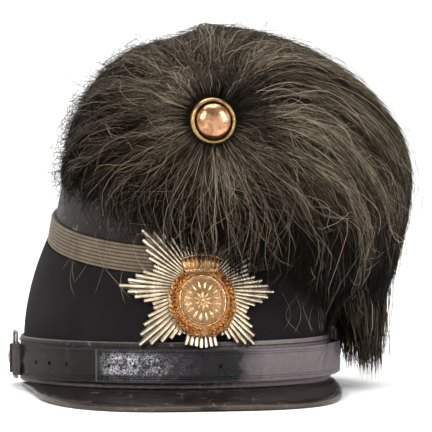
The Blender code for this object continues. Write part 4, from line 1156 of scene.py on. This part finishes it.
def turnedPiece(name, profile, material, top=None):
    # A round piece spun from its profile about the button's axis: a ring, or closed at its foot and top.
    axis = Vector(buttonSet["axis"]).normalized()
    across = Vector((1.0, 0.0, 0.0))
    across = (across - axis * across.dot(axis)).normalized()
    sides, count = buttonSet["sides"], len(profile)
    around = math.tau * np.arange(sides) / sides
    ringWay = np.outer(np.cos(around), across) + np.outer(np.sin(around), axis.cross(across))
    centre, axis = np.array(buttonSet["centre"]), np.array(axis)
    points = np.concatenate([centre + ringWay * radius + axis * height for radius, height in profile])
    bands = count if top is None else count - 1
    quads = [ringQuads(sides, k * sides, (k + 1) % count * sides) for k in range(bands)]
    faceSets = [np.concatenate(quads)]
    if top is not None:
        points = np.concatenate([points, [centre + axis * top, centre + axis * profile[0][1]]])
        faceSets.append(ringFan(sides, (count - 1) * sides, len(points) - 2))
        faceSets.append(ringFan(sides, 0, len(points) - 1)[:, (1, 0, 2)])
    return arrayPiece(name, points, faceSets, material, 50.0)


def makeButton(spec):
    rim = turnedPiece("buttonRim", spec["rim"], wornMetal("rimBrass"))
    settle(rim, "rim_brass", "button_rim")
    dome = turnedPiece("buttonDome", spec["dome"], wornMetal("buttonCopper"), spec["domeTop"])
    settle(dome, "button_copper", "plume_button")


makeButton(buttonSet)


# Hair
print("stage: hair")

hairSet = {
    "heart": (15.0, -20.0, 118.0),
    "blend": 9.0,
    # centre x, y, z and half sizes of the plume's soft masses
    "masses": (
        (0.8, -14, 122, 62, 79, 58), (36, -12, 125, 65, 72, 61), (66, -14, 105, 60, 64, 60),
        (4, -68, 134, 28, 24, 26), (-22.5, -44, 106, 40, 46, 26), (22, -66, 94, 48, 40, 32),
        (58, -38, 82, 41, 52, 45), (82, -14, 62, 25, 38, 44),
    ),
    "inset": 2.0,
    # where the strands lie deeper in the plume's solid, or higher: direction from the heart, reach, depth
    "insets": ((-0.92, 0.14, 0.36, 0.38, 3.2), (0.93, 0.06, 0.36, 0.42, 2.4), (0.02, -0.05, 1.0, 0.16, -5.0)),
    "guides": 420,
    "step": 3.5,
    "steps": 68,
    "startDeg": (8.0, 0.8),  # from the button's middle, and how much it varies
    "sway": 0.12,
    # degrees from the button at which a downward pull begins, and over how many it grows
    "pulls": ((16.0, 74.0), (85.0, 40.0)),
    # share of the first pull where x is over 15, and elsewhere
    "pullShares": (1.5, 0.45),
    # azimuth from the front towards the wearer's left, height where the hair ends
    "hem": (
        (-180, 116), (-90, 113), (-70, 110), (-51, 103), (-33, 94), (-19, 83), (-7, 68), (4, 60), (10, 56),
        (25, 50), (36, 40), (50, 36), (70, 38), (90, 46), (112, 52), (140, 92), (180, 116),
    ),
    "hemUneven": 6.0,
    # where the hair is paler or darker, partly its own tone and partly painted sheen and shade: x, y, z,
    # reach, tone
    "toneAndLightZones": (
        (-30, -70, 152, 24, 0.30), (48, -80, 132, 17, 0.34), (64, -66, 116, 18, 0.30),
        (78, -50, 98, 16, 0.22), (14, -92, 108, 17, 0.34), (36, -86, 96, 17, 0.26),
        (20, -60, 172, 26, 0.22), (24, -86, 150, 15, -0.34), (38, -82, 126, 11, -0.28),
        (54, -80, 92, 12, -0.24), (66, -72, 80, 13, -0.20), (-54, -56, 108, 24, -0.36),
        (10, -96, 80, 16, -0.16), (44, -84, 62, 20, -0.34), (70, -60, 58, 26, -0.30),
        (98, -26, 62, 30, -0.26), (100, -20, 30, 45, -0.30), (80, 40, 60, 60, -0.2),
        (30, 0, 176, 30, -0.06), (-10, -90, 130, 15, 0.38), (-4, -84, 152, 12, 0.12),
        (16, -74, 166, 17, -0.24), (-46, -50, 140, 26, -0.20), (8, -92, 84, 20, -0.30),
        (34, -86, 74, 24, -0.44), (-31, -50, 159, 14, -0.20), (68, -62, 103, 11, -0.26),
        (58, -72, 58, 26, -0.34), (72, -64, 100, 10, -0.26), (76, -52, 62, 24, -0.22),
        (98, -34, 92, 22, -0.14), (-44, -66, 96, 24, -0.26), (26, -84, 112, 11, -0.16),
    ),
}
hairHeart = np.array(hairSet["heart"])
hairPole = unit(np.array(buttonSet["centre"]) - hairHeart)
hairMasses = np.array(hairSet["masses"], float)


def hairReach(directions):
    # How far the plume reaches from its heart, as a soft union of its masses.
    centre, size = hairMasses[:, :3] - hairHeart, hairMasses[:, 3:]
    ray = directions[:, None, :] / size
    away = centre / size
    square = np.sum(ray * ray, -1)
    along = np.sum(ray * away, -1) / square
    miss = 1.0 - np.sum((away - ray * along[..., None]) ** 2, -1)
    leave = along + np.sqrt(np.maximum(miss, 0.0) / square)
    held = (miss > 0.0) & (leave > 0.0)
    part = np.where(held, leave * np.sqrt(np.clip(miss / 0.35, 0.0, 1.0)), 0.0)
    return np.sum(part ** hairSet["blend"], -1) ** (1.0 / hairSet["blend"])


def degreesFromPole(directions):
    return np.degrees(np.arccos(np.clip(directions @ hairPole, -1.0, 1.0)))


def strandReach(directions):
    # How far the strands reach: a little inside the plume's solid, but not near the button.
    inset = np.full(len(directions), hairSet["inset"])
    for x, y, z, reach, depth in hairSet["insets"]:
        inset += depth * np.exp(-np.sum((directions - np.array((x, y, z))) ** 2, -1) / reach ** 2)
    inset = inset * easeIn((degreesFromPole(directions) - 9.0) / 22.0)
    return hairReach(directions) - inset * easeIn((directions[:, 2] + 0.75) / 0.35)


def hairSurface(directions):
    return hairHeart + directions * strandReach(directions)[:, None]


def hairNormal(directions):
    side = unit(np.cross(directions, (0.31, 0.17, 0.93)))
    reach = []
    for way in (side, np.cross(directions, side)):
        reach.append(hairSurface(unit(directions + way * 0.02)) - hairSurface(unit(directions - way * 0.02)))
    normal = unit(np.cross(*reach))
    outward = np.sum(normal * directions, -1, keepdims=True)
    return normal * np.where(outward < 0.0, -1.0, 1.0)


def hemHeight(points):
    azimuth = np.degrees(np.arctan2(points[..., 0], -(points[..., 1] + 4.0)))
    table = np.array(hairSet["hem"], float)
    return np.interp(azimuth, table[:, 0], table[:, 1])


def smoothed(values, width):
    kernel = np.hanning(width + 2)[1:-1]
    kernel /= kernel.sum()
    wide = np.concatenate([values[-width:], values, values[:width]])
    return np.convolve(wide, kernel, 'same')[width:-width]


overStar = {
    "radius": 48.0,
    "edge": 6.0,  # over which the lift grows inwards from the radius
    "lift": (-4.0, 8.2),  # at the radius, and how much more inside
    "medalRadius": 25.0,
    "medalEdge": 5.0,
    "medalLift": 3.4,
    "deepest": -30.0,  # hair farther behind the star is left alone
}


def clearStar(points):
    # Lifts hair that crosses the star just over its rods, and over the medallion in its middle.
    offset = points - np.array(starSet["centre"])
    u = offset[..., 0]
    offset = offset - starBend(u)
    v, lift = offset @ starUp, offset @ starAway
    away = np.hypot(u, v)
    least, more = overStar["lift"]
    wanted = least + more * np.clip((overStar["radius"] - away) / overStar["edge"], 0.0, 1.0)
    medal = np.hypot(u, v - medalSet["centreV"] * np.where(v < 0.0, 1.0, 0.2))
    medalShare = np.clip((overStar["medalRadius"] - medal) / overStar["medalEdge"], 0.0, 1.0)
    wanted = wanted + overStar["medalLift"] * medalShare
    near = (away < overStar["radius"]) & (lift > overStar["deepest"])
    raised = np.where(near, np.maximum(lift, wanted), lift)
    return points + starAway * (raised - lift)[..., None]


def growGuides(spec, rng):
    # Lines down which the hair lies: away from the button, and more and more downwards.
    count = spec["guides"]
    turn = math.tau * (np.arange(count) + rng.uniform(-0.3, 0.3, count)) / count
    across = unit(np.array((1.0, 0.0, 0.0)) - hairPole * hairPole[0])
    up = np.cross(across, hairPole)
    up = up * np.sign(up[2])
    side = np.outer(np.cos(turn), across) + np.outer(np.sin(turn), up)
    start = np.radians(spec["startDeg"][0] + rng.uniform(0.0, spec["startDeg"][1], count))[:, None]
    points = hairSurface(hairPole * np.cos(start) + side * np.sin(start))
    pole = hairSurface(hairPole[None])[0]
    sway = smoothed(rng.normal(0.0, 1.0, count), 9) * spec["sway"]
    path, hanging = [points], np.zeros(count, bool)
    heading = unit(points - pole)
    down = np.array((0.0, 0.0, -1.0))
    (firstFrom, firstOver), (laterFrom, laterOver) = spec["pulls"]
    for _ in range(spec["steps"]):
        way = unit(points - hairHeart)
        normal = hairNormal(way)
        fromPole = degreesFromPole(way)
        radial = points - pole
        radial = unit(radial - normal * np.sum(radial * normal, -1, keepdims=True))
        fall = down - normal * (normal @ down)[:, None]
        pull = easeIn((fromPole - firstFrom) / firstOver) * np.where(points[:, 0] > 15.0, *spec["pullShares"])
        pull = pull + easeIn((fromPole - laterFrom) / laterOver)
        wanted = radial + fall * pull[:, None] + np.cross(normal, radial) * sway[:, None]
        hanging |= (normal[:, 2] < np.where(points[:, 0] > 66.0, -0.8, -0.30)) & (fromPole > 25.0)
        heading = unit(np.where(hanging[:, None], (heading + down) * 0.6, wanted))
        points = points + heading * spec["step"]
        points = np.where(hanging[:, None], points, hairSurface(unit(points - hairHeart)))
        path.append(points)
    path = np.stack(path, 1)
    path = clearStar(keepOffShell(path.reshape(-1, 3), 1.2).reshape(path.shape))
    spacing = np.linalg.norm(np.roll(path, -1, 0) - np.roll(path, 1, 0), axis=-1) / 2.0
    spacing = np.clip(sum(np.roll(spacing, k, 0) for k in range(-3, 4)) / 7.0, 0.35, 8.0)
    hem = hemHeight(path) + smoothed(rng.normal(0.0, 1.0, count), 5)[:, None] * spec["hemUneven"]
    below = path[..., 2] < hem
    below[:, -1] = True
    return {"path": path, "ends": np.maximum(np.argmax(below, 1), 6), "spacing": spacing}


def alongGuides(guides, where, share):
    # Points at a fractional guide number and a fractional step along it.
    path = guides["path"]
    count, steps = path.shape[:2]
    low = np.floor(where).astype(int) % count
    high = (low + 1) % count
    mix = (where - np.floor(where))[..., None]
    step = np.clip(share, 0.0, steps - 1.001)
    at = step.astype(int)
    part = (step - at)[..., None]
    first = path[low, at] * (1 - part) + path[low, at + 1] * part
    second = path[high, at] * (1 - part) + path[high, at + 1] * part
    return first * (1 - mix) + second * mix


def endsAt(guides, where):
    return guides["ends"][np.round(where).astype(int) % len(guides["ends"])]


def spacingAt(guides, where, step):
    spacing = guides["spacing"]
    low = np.floor(where).astype(int) % len(spacing)
    return spacing[low, np.clip(step, 0, spacing.shape[1] - 1).astype(int)]


def strandArrays(paths, radius, tones, taper):
    # Three-sided closed strands along paths of a few points each.
    count, steps = paths.shape[:2]
    along = unit(np.gradient(paths, axis=1))
    side = unit(np.cross(along, (0.23, 0.91, 0.35)))
    other = np.cross(along, side)
    rings = []
    for k in range(1, steps - 1):
        for corner in range(3):
            angle = math.tau * corner / 3
            way = side[:, k] * math.cos(angle) + other[:, k] * math.sin(angle)
            rings.append(paths[:, k] + way * (radius * taper[k])[:, None])
    points = np.stack([paths[:, 0], paths[:, -1]] + rings, 1)
    faces = []
    for corner in range(3):
        after = (corner + 1) % 3
        faces.append((0, 2 + after, 2 + corner))
        for k in range(steps - 3):
            low, high = 2 + 3 * k, 5 + 3 * k
            faces += [(low + corner, low + after, high + after), (low + corner, high + after, high + corner)]
        last = 2 + 3 * (steps - 3)
        faces.append((last + corner, last + after, 1))
    size = points.shape[1]
    allFaces = np.array(faces)[None] + (np.arange(count) * size)[:, None, None]
    place = np.array([0.0, 1.0] + [k / (steps - 1) for k in range(1, steps - 1) for _ in range(3)])
    values = {"strandTone": np.repeat(tones, size), "strandAlong": np.tile(place, count)}
    return points.reshape(-1, 3), allFaces.reshape(-1, 3), values


def hairMaterial():
    material, tree, shader = startMaterial("horsehair", Roughness=0.46, Specular_IOR_Level=0.08,
                                           Specular_Tint=(1.0, 0.84, 0.62, 1.0))
    mottle = scaled(tree, noiseOf(tree, objectSpace(tree), 5.0, 3.0), 0.3, -0.15)
    tone = mathOf(tree, 'ADD', valueOf(tree, "strandTone"), mottle)
    # painted shade: darker towards the roots, which lie under the other strands, and paler towards the tips
    tone = mathOf(tree, 'ADD', tone, scaled(tree, valueOf(tree, "strandAlong"), 0.22, -0.10))
    colour = rampOf(tree, tone, (0.0, (0.0026, 0.0021, 0.0018)), (0.32, (0.0135, 0.0103, 0.0072)),
                    (0.62, (0.080, 0.0620, 0.0425)), (1.0, (0.34, 0.275, 0.195)))
    joinUp(tree, shader, Base_Color=colour)
    return material


def hairDepthMaterial():
    # What is seen between the strands, deep in the plume: dull and nearly black, partly the hair's own dark
    # colour and partly painted shade.
    material, tree, shader = startMaterial("hairDepthShade", Roughness=0.95, Specular_IOR_Level=0.05)
    strands = noiseOf(tree, objectSpace(tree, (1.0, 1.0, 0.15)), 0.7, 3.0)
    joinUp(tree, shader, Base_Color=mixOf(tree, strands, (0.0035, 0.0030, 0.0026), (0.012, 0.010, 0.008)))
    return material


# Paler and darker zones: partly the hair's own tone, partly painted sheen and shade.
def zoneToneAndLight(points):
    tone = np.zeros(len(points))
    for x, y, z, reach, amount in hairSet["toneAndLightZones"]:
        away = np.sum((points - np.array((x, y, z))) ** 2, -1) / (reach * reach)
        tone += amount * np.exp(-away)
    return tone


def hemShade(spec, points):
    # How much darker the hair is at its hem and below, falling to nothing above.
    amount, room, over = spec["hemShade"]
    return amount * easeIn((hemHeight(points) + room - points[:, 2]) / over)


def addStrands(name, paths, radius, tones, material, taper):
    paths = clearStar(keepOffShell(paths.reshape(-1, 3), 0.6).reshape(paths.shape))
    floorAt = toRow(paths.reshape(-1, 3))[:, 2].reshape(paths.shape[:2])
    paths[..., 2] += np.maximum(0.0, 0.0010 - floorAt) / mm
    points, faces, values = strandArrays(paths, radius, tones, taper)
    settle(arrayPiece(name, points, [faces], material, None, values), "hair")


def guideStrands(guides, rng, count, lengths, lift, astray, sink):
    # Sections of the guide lines, drawn towards every third guide as locks do, dipping in at the root.
    # Where the guides lie far apart there are more strands between them, and astray is in mm.
    total = len(guides["ends"])
    weight = np.array([row[:last + 1].sum() for row, last in zip(guides["spacing"], guides["ends"])]) ** 0.85
    run = np.concatenate([[0.0], np.cumsum(weight)])
    where = np.interp(rng.uniform(0.0, run[-1], count), run, np.arange(total + 1.0)) % total
    last = endsAt(guides, where).astype(float)
    span = np.minimum(rng.uniform(*lengths, count) / hairSet["step"], last)
    start = (last - span * 0.55) * rng.uniform(0.0, 1.0, count) ** 0.72
    stop = np.minimum(start + span, last + rng.uniform(-4.0, 0.8, count))
    start = np.maximum(0.0, np.minimum(start, stop - span * 0.6))
    marks = np.linspace(0.0, 1.0, 5)
    astray = astray / np.maximum(spacingAt(guides, where, (start + stop) / 2), 0.7)
    clump = np.round(where / 3.0) * 3.0 - where + rng.normal(0.0, 1.2, count)
    draw = np.outer(clump, 0.35 * easeIn(marks))
    for power in (1, 2):
        draw = draw + np.outer(rng.normal(0.0, 1.0, count) * astray, marks ** power)
    shares = start[:, None] + (stop - start)[:, None] * marks
    paths = alongGuides(guides, (where[:, None] + draw) % total, shares)
    out = unit(paths - hairHeart)
    ridge = np.sin(where * math.tau / 14.0 + np.sin(where * 0.11) * 2.0)[:, None] * 0.8
    rise = np.outer(rng.gamma(2.0, lift, count), (0.0, 0.1, 0.35, 0.8, 1.35))
    rise = rise + sink * np.array((-2.6, -1.0, -0.5, -0.4, -0.6))
    paths = paths + out * (rise + ridge)[..., None]
    phase = rng.uniform(0.0, math.tau, (2, count, 1))[0]
    wave = rng.gamma(2.0, 0.40, count)[:, None]
    sideways = unit(np.cross(out, np.gradient(paths, axis=1)))
    bend = np.sin(phase + np.arange(5) * 1.7) * wave * np.linspace(0.4, 1.9, 5)
    return paths + sideways * bend[..., None], where


def wavyOffsets(rng, count, marks, rates, mean, profile):
    # Each strand's own gentle waves in x, y and z.
    phase = rng.uniform(0.0, math.tau, (3, count, 1))
    wave = rng.gamma(2.0, mean, count)[:, None] * profile
    return np.stack([np.sin(phase[k] + marks * rng.uniform(*rates, (count, 1))) * wave for k in range(3)], -1)


tailSet = {
    "strands": 3500,
    # root, middle and tip of each lock, and its root radius
    "locks": np.array((
        (99, -20, 86, 105, -22, 50, 104, -34, -4, 9.5), (97, -6, 80, 105, -6, 42, 106, -8, 3, 9),
        (93, -32, 78, 97.5, -36, 42, 98, -44, -4, 9), (90, -18, 66, 96, -21, 36, 96.5, -26, -3.2, 9),
        (98, 4, 72, 104, 8, 42, 103, 8, 10, 8), (88, -40, 64, 93, -44, 40, 94, -50, 6, 7.5),
        (90, 8, 62, 96, 12, 34, 97, 10, -2.2, 8), (86, 20, 62, 91.5, 27, 32, 91, 26, -1.4, 8),
        (82, 32, 62, 87, 41, 36, 88, 40, 6, 7), (82, -48, 64, 87, -53, 46, 88, -57, 27, 7),
    )),
    "spread": 0.54,
    "radius": (0.14, 0.26),
    "tone": (0.22, 0.22),  # and how much it varies
    "taper": (0, 0.8, 1, 1, 1, 0.8, 0),
}


def lockCurve(locks, share):
    # Places at a share of the way down locks whose rows hold root, middle and tip.
    root, middle, tip = (locks[:, None, k:k + 3] for k in (0, 3, 6))
    bow = middle * 2.0 - (root + tip) * 0.5
    return root * (1 - share) ** 2 + bow * 2 * share * (1 - share) + tip * share ** 2


def tailStrands(rng, count):
    # Strands of the tail: each between a lock and its neighbour, from high on the plume to the floor.
    locks = tailSet["locks"]
    first = rng.integers(0, len(locks), count)
    second = np.clip(first + rng.integers(-1, 2, count), 0, len(locks) - 1)
    mix = rng.uniform(0.0, 1.0, count)[:, None] ** 3 * 0.5
    lock = locks[first] * (1 - mix) + locks[second] * mix
    offset = rng.normal(0.0, tailSet["spread"], (count, 3)) * lock[:, 9:]
    offset[:, 2] *= 0.4
    marks = np.linspace(0.0, 1.0, 7)[None, :, None]
    start = rng.uniform(-0.35, 0.25, count)[:, None, None]
    stop = 1.0 - np.minimum(0.7, rng.gamma(1.6, 0.13, count))[:, None, None]
    share = start + (stop - start) * marks
    # above the lock's root the strand follows the plume's surface up
    climb = np.minimum(share, 0.0) * -90.0 * np.array((-0.25, 0.0, 1.0))
    spread = offset[:, None] * (1.0 - 0.72 * np.clip(share, 0.0, 1.0) ** 1.2)
    paths = lockCurve(lock, np.maximum(share, 0.0)) + climb + spread
    out = paths - hairHeart
    far = np.linalg.norm(out, axis=-1)
    reach = strandReach(unit(out.reshape(-1, 3))).reshape(far.shape)
    limit = np.where(share[..., 0] < 0.2, reach + 0.8, far)
    paths = hairHeart + out * (np.minimum(far, limit) / far)[..., None]
    bend = wavyOffsets(rng, count, np.arange(7), (0.8, 1.6), 0.5, np.linspace(0.2, 1.3, 7))
    bend[..., 2] *= 0.2
    return paths + bend


fuzzSet = {
    "strands": 4400,
    "radius": (0.11, 0.19),
    "tone": (0.18, 0.14),
    "taper": (0, 1.0, 0.9, 0.7, 0),
}


def sideFuzz(guides, rng, count):
    # Short wiry ends that stand out of the plume's upper edge and of its edge on the wearer's right.
    tries = count * 4
    where = rng.uniform(0.0, len(guides["ends"]), tries)
    share = endsAt(guides, where) * rng.uniform(0.35, 1.0, tries)
    roots = alongGuides(guides, where, share)
    chance = np.clip((-roots[:, 0] - 8.0) / 40.0, 0.0, 1.0)
    chance = chance + 0.35 * np.clip((roots[:, 2] - 160.0) / 16.0, 0.0, 1.0)
    keep = np.nonzero(rng.uniform(0.0, 1.0, tries) < np.clip(chance, 0.03, 1.0))[0][:count]
    roots, where, share, held = roots[keep], where[keep], share[keep], len(keep)
    ahead = unit(alongGuides(guides, where, share + 1.0) - alongGuides(guides, where, share - 1.0))
    out = hairNormal(unit(roots - hairHeart))
    length = rng.gamma(2.6, 1.9, held)[:, None]
    way = unit(out * rng.uniform(0.0, 0.9, (held, 1)) + ahead * 0.6 + rng.normal(0.0, 0.42, (held, 3)))
    curl = rng.normal(0.0, 0.16, (held, 3)) * length
    marks = np.linspace(0.0, 1.0, 5)[None, :, None]
    paths = (roots - out * 1.2)[:, None] + way[:, None] * marks * length[..., None]
    paths = paths + curl[:, None] * np.sin(marks * math.pi * 1.3)
    return paths + ahead[:, None] * marks ** 2 * length[..., None] * 0.25


flyawaySet = {
    "strands": 1500,
    "radius": (0.065, 0.115),
    "tone": (0.58, 0.25),
    "hemShade": (0.22, 40.0, 30.0),
    "taper": (0, 0.9, 1, 1, 1, 1, 1, 0.9, 0.7, 0),
}


def flyawayPaths(guides, rng, count):
    # Long thin hairs that have come loose and curl a little above the rest.
    total = len(guides["ends"])
    where = rng.uniform(0.0, total, count)
    last = endsAt(guides, where).astype(float)
    span = rng.uniform(7.0, 20.0, count)
    start = np.maximum(0.0, last - span) * rng.uniform(0.1, 1.0, count)
    marks = np.linspace(0.0, 1.0, 10)
    drift = rng.normal(0.0, 10.0, count) / np.maximum(spacingAt(guides, where, start + span / 2), 0.8)
    drift = np.outer(drift, marks ** 1.5)
    paths = alongGuides(guides, (where[:, None] + drift) % total, start[:, None] + span[:, None] * marks)
    # the ones over the top and the wearer's right side stand well off and curl
    exposed = (paths[:, 4, 2] > 128.0) | (paths[:, 4, 0] < -20.0)
    wild = 1.0 + 0.7 * (rng.uniform(0.0, 1.0, count) < 0.4) * exposed
    lift = np.outer(rng.gamma(2.0, 1.3, count) * wild, np.sin(marks * 2.4)) - 0.5
    lifted = paths + unit(paths - hairHeart) * lift[..., None]
    return lifted + wavyOffsets(rng, count, marks, (3.0, 7.0), 0.8, wild[:, None])


looseSet = {
    "strands": 22,
    "radius": (0.07, 0.11),
    "tone": 0.85,
    "taper": (0, 1, 1, 1, 1, 1, 1, 0.8, 0),
}


def looseHairs(rng, count):
    # Single hairs lying on the cloth in front, below the fringe.
    x = rng.uniform(-62.0, 70.0, count)
    top = np.interp(x, (-62, 0, 70), (88.0, 70.0, 46.0)) + rng.uniform(-14.0, 4.0, count)
    length = np.minimum(rng.uniform(10.0, 42.0, count), top - 25.5)
    marks = np.linspace(0.0, 1.0, 9)
    height = top[:, None] - length[:, None] * marks
    aside = x[:, None] + np.outer(rng.normal(0.0, 7.0, count), marks)
    aside = aside + np.outer(rng.normal(0.0, 4.0, count), np.sin(marks * 3.0))
    deep = -np.sqrt(np.maximum(0.0, 1.0 - (aside / 82.0) ** 2)) * 60.0
    paths = np.stack([aside, deep, height], -1)
    return keepOffShell(paths.reshape(-1, 3), 0.35, drawIn=True).reshape(paths.shape)


def sinkBody(piece):
    # The plume's own solid, sunk below the strands, with its locks drawn in to their middles.
    points = toHat(meshPoints(piece))
    out = points - hairHeart
    far = np.linalg.norm(out, axis=1)
    limit = np.maximum(strandReach(out / far[:, None]) - 3.8, 8.0)
    points = hairHeart + out * (np.minimum(far, limit) / far)[:, None]
    line = lockCurve(tailSet["locks"], np.linspace(0.0, 1.0, 25)[None, :, None]).reshape(-1, 3)
    nearest = line[np.argmin(np.sum((points[:, None] - line[None]) ** 2, -1), 1)]
    share = easeIn((64.0 - points[:, 2]) / 22.0) * (points[:, 0] > 70.0) * 0.82
    points = points + (nearest - points) * share[:, None]
    room = hemHeight(points) + 16.0 - points[:, 2]
    points[:, 2] += np.where((room > 0.0) & (points[:, 0] < 76.0), np.minimum(16.0, room), 0.0)
    piece.data.vertices.foreach_set("co", toRow(points).astype(np.float32).ravel())
    piece.data.update()


strandSet = {
    "strands": 34200,
    "radius": (0.085, 0.175),
    "tone": (0.365, 0.22),
    "streaks": ((3, 0.16), (15, 0.22)),  # guides that a streak is smoothed over, and its strength
    "hemShade": (0.46, 50.0, 36.0),  # amount, height over the hem where it ends, and over which it grows
    "taper": (0, 0.8, 1.0, 0.75, 0),
    # lengths, lift, straying and how far the roots sink in: neat strands, messy ones, and ones close to the
    # button, where the last two begin with one in how many they are
    "neat": ((24.0, 66.0), 0.28, 1.8, 1.0),
    "messy": (4, (14.0, 46.0), 0.5, 9.0, 1.0),
    "near": (14, (16.0, 34.0), 0.2, 1.5, 0.35),
    "nearSteps": 9,
    "pieces": ("hairTop", "hairRightSide", "hairLeftSide", "hairFringe", "hairBack"),
}


def regionOf(middle):
    # Which of the main pieces a strand belongs to, by its middle.
    left = np.where(middle[:, 0] > 55, 2, 3)
    region = np.where(middle[:, 2] > 146, 0, np.where(middle[:, 0] < -12, 1, left))
    return np.where(middle[:, 1] > 0, 4, region)


def addMainStrands(spec, guides, rng, material):
    count = spec["strands"]
    paths, where = guideStrands(guides, rng, count, *spec["neat"])
    oneIn, *messy = spec["messy"]
    first = count // oneIn
    paths[:first], where[:first] = guideStrands(guides, rng, first, *messy)
    oneIn, *close = spec["near"]
    near = slice(first, first + count // oneIn)
    short = dict(guides, ends=np.full(len(guides["ends"]), spec["nearSteps"]))
    paths[near], where[near] = guideStrands(short, rng, count // oneIn, *close)
    streak = sum(smoothed(rng.normal(0.0, 1.0, len(guides["ends"])), width) * size
                 for width, size in spec["streaks"])
    tone, vary = spec["tone"]
    tones = tone + rng.normal(0.0, vary, count) + streak[np.round(where).astype(int) % len(streak)]
    tones = tones + zoneToneAndLight(paths[:, 2]) - hemShade(spec, paths[:, 3])
    radius = rng.uniform(*spec["radius"], count)
    region = regionOf(paths[:, 2])
    for index, name in enumerate(spec["pieces"]):
        held = region == index
        addStrands(name, paths[held], radius[held], tones[held], material, spec["taper"])


def makeHair():
    rng = np.random.default_rng(21)
    black = hairMaterial()
    dressNode("plume", "hairBody", hairDepthMaterial(), "hair", 60.0, changes=[sinkBody])
    guides = growGuides(hairSet, rng)
    addMainStrands(strandSet, guides, rng, black)

    count = tailSet["strands"]
    tail = tailStrands(rng, count)
    tone, vary = tailSet["tone"]
    tones = tone + rng.normal(0.0, vary, count)
    addStrands("hairTail", tail, rng.uniform(*tailSet["radius"], count), tones, black, tailSet["taper"])

    fuzz = sideFuzz(guides, rng, fuzzSet["strands"])
    radius = rng.uniform(*fuzzSet["radius"], len(fuzz))
    tone, vary = fuzzSet["tone"]
    tones = tone + rng.normal(0.0, vary, len(fuzz))
    addStrands("hairFuzz", fuzz, radius, tones, black, fuzzSet["taper"])

    fly = flyawayPaths(guides, rng, flyawaySet["strands"])
    radius = rng.uniform(*flyawaySet["radius"], len(fly))
    tone, vary = flyawaySet["tone"]
    tones = tone + rng.normal(0.0, vary, len(fly)) - hemShade(flyawaySet, fly[:, 5])
    addStrands("hairFlyaways", fly, radius, tones, black, flyawaySet["taper"])

    loose = looseHairs(rng, looseSet["strands"])
    radius = rng.uniform(*looseSet["radius"], len(loose))
    addStrands("looseHairs", loose, radius, np.full(len(loose), looseSet["tone"]), black, looseSet["taper"])


makeHair()
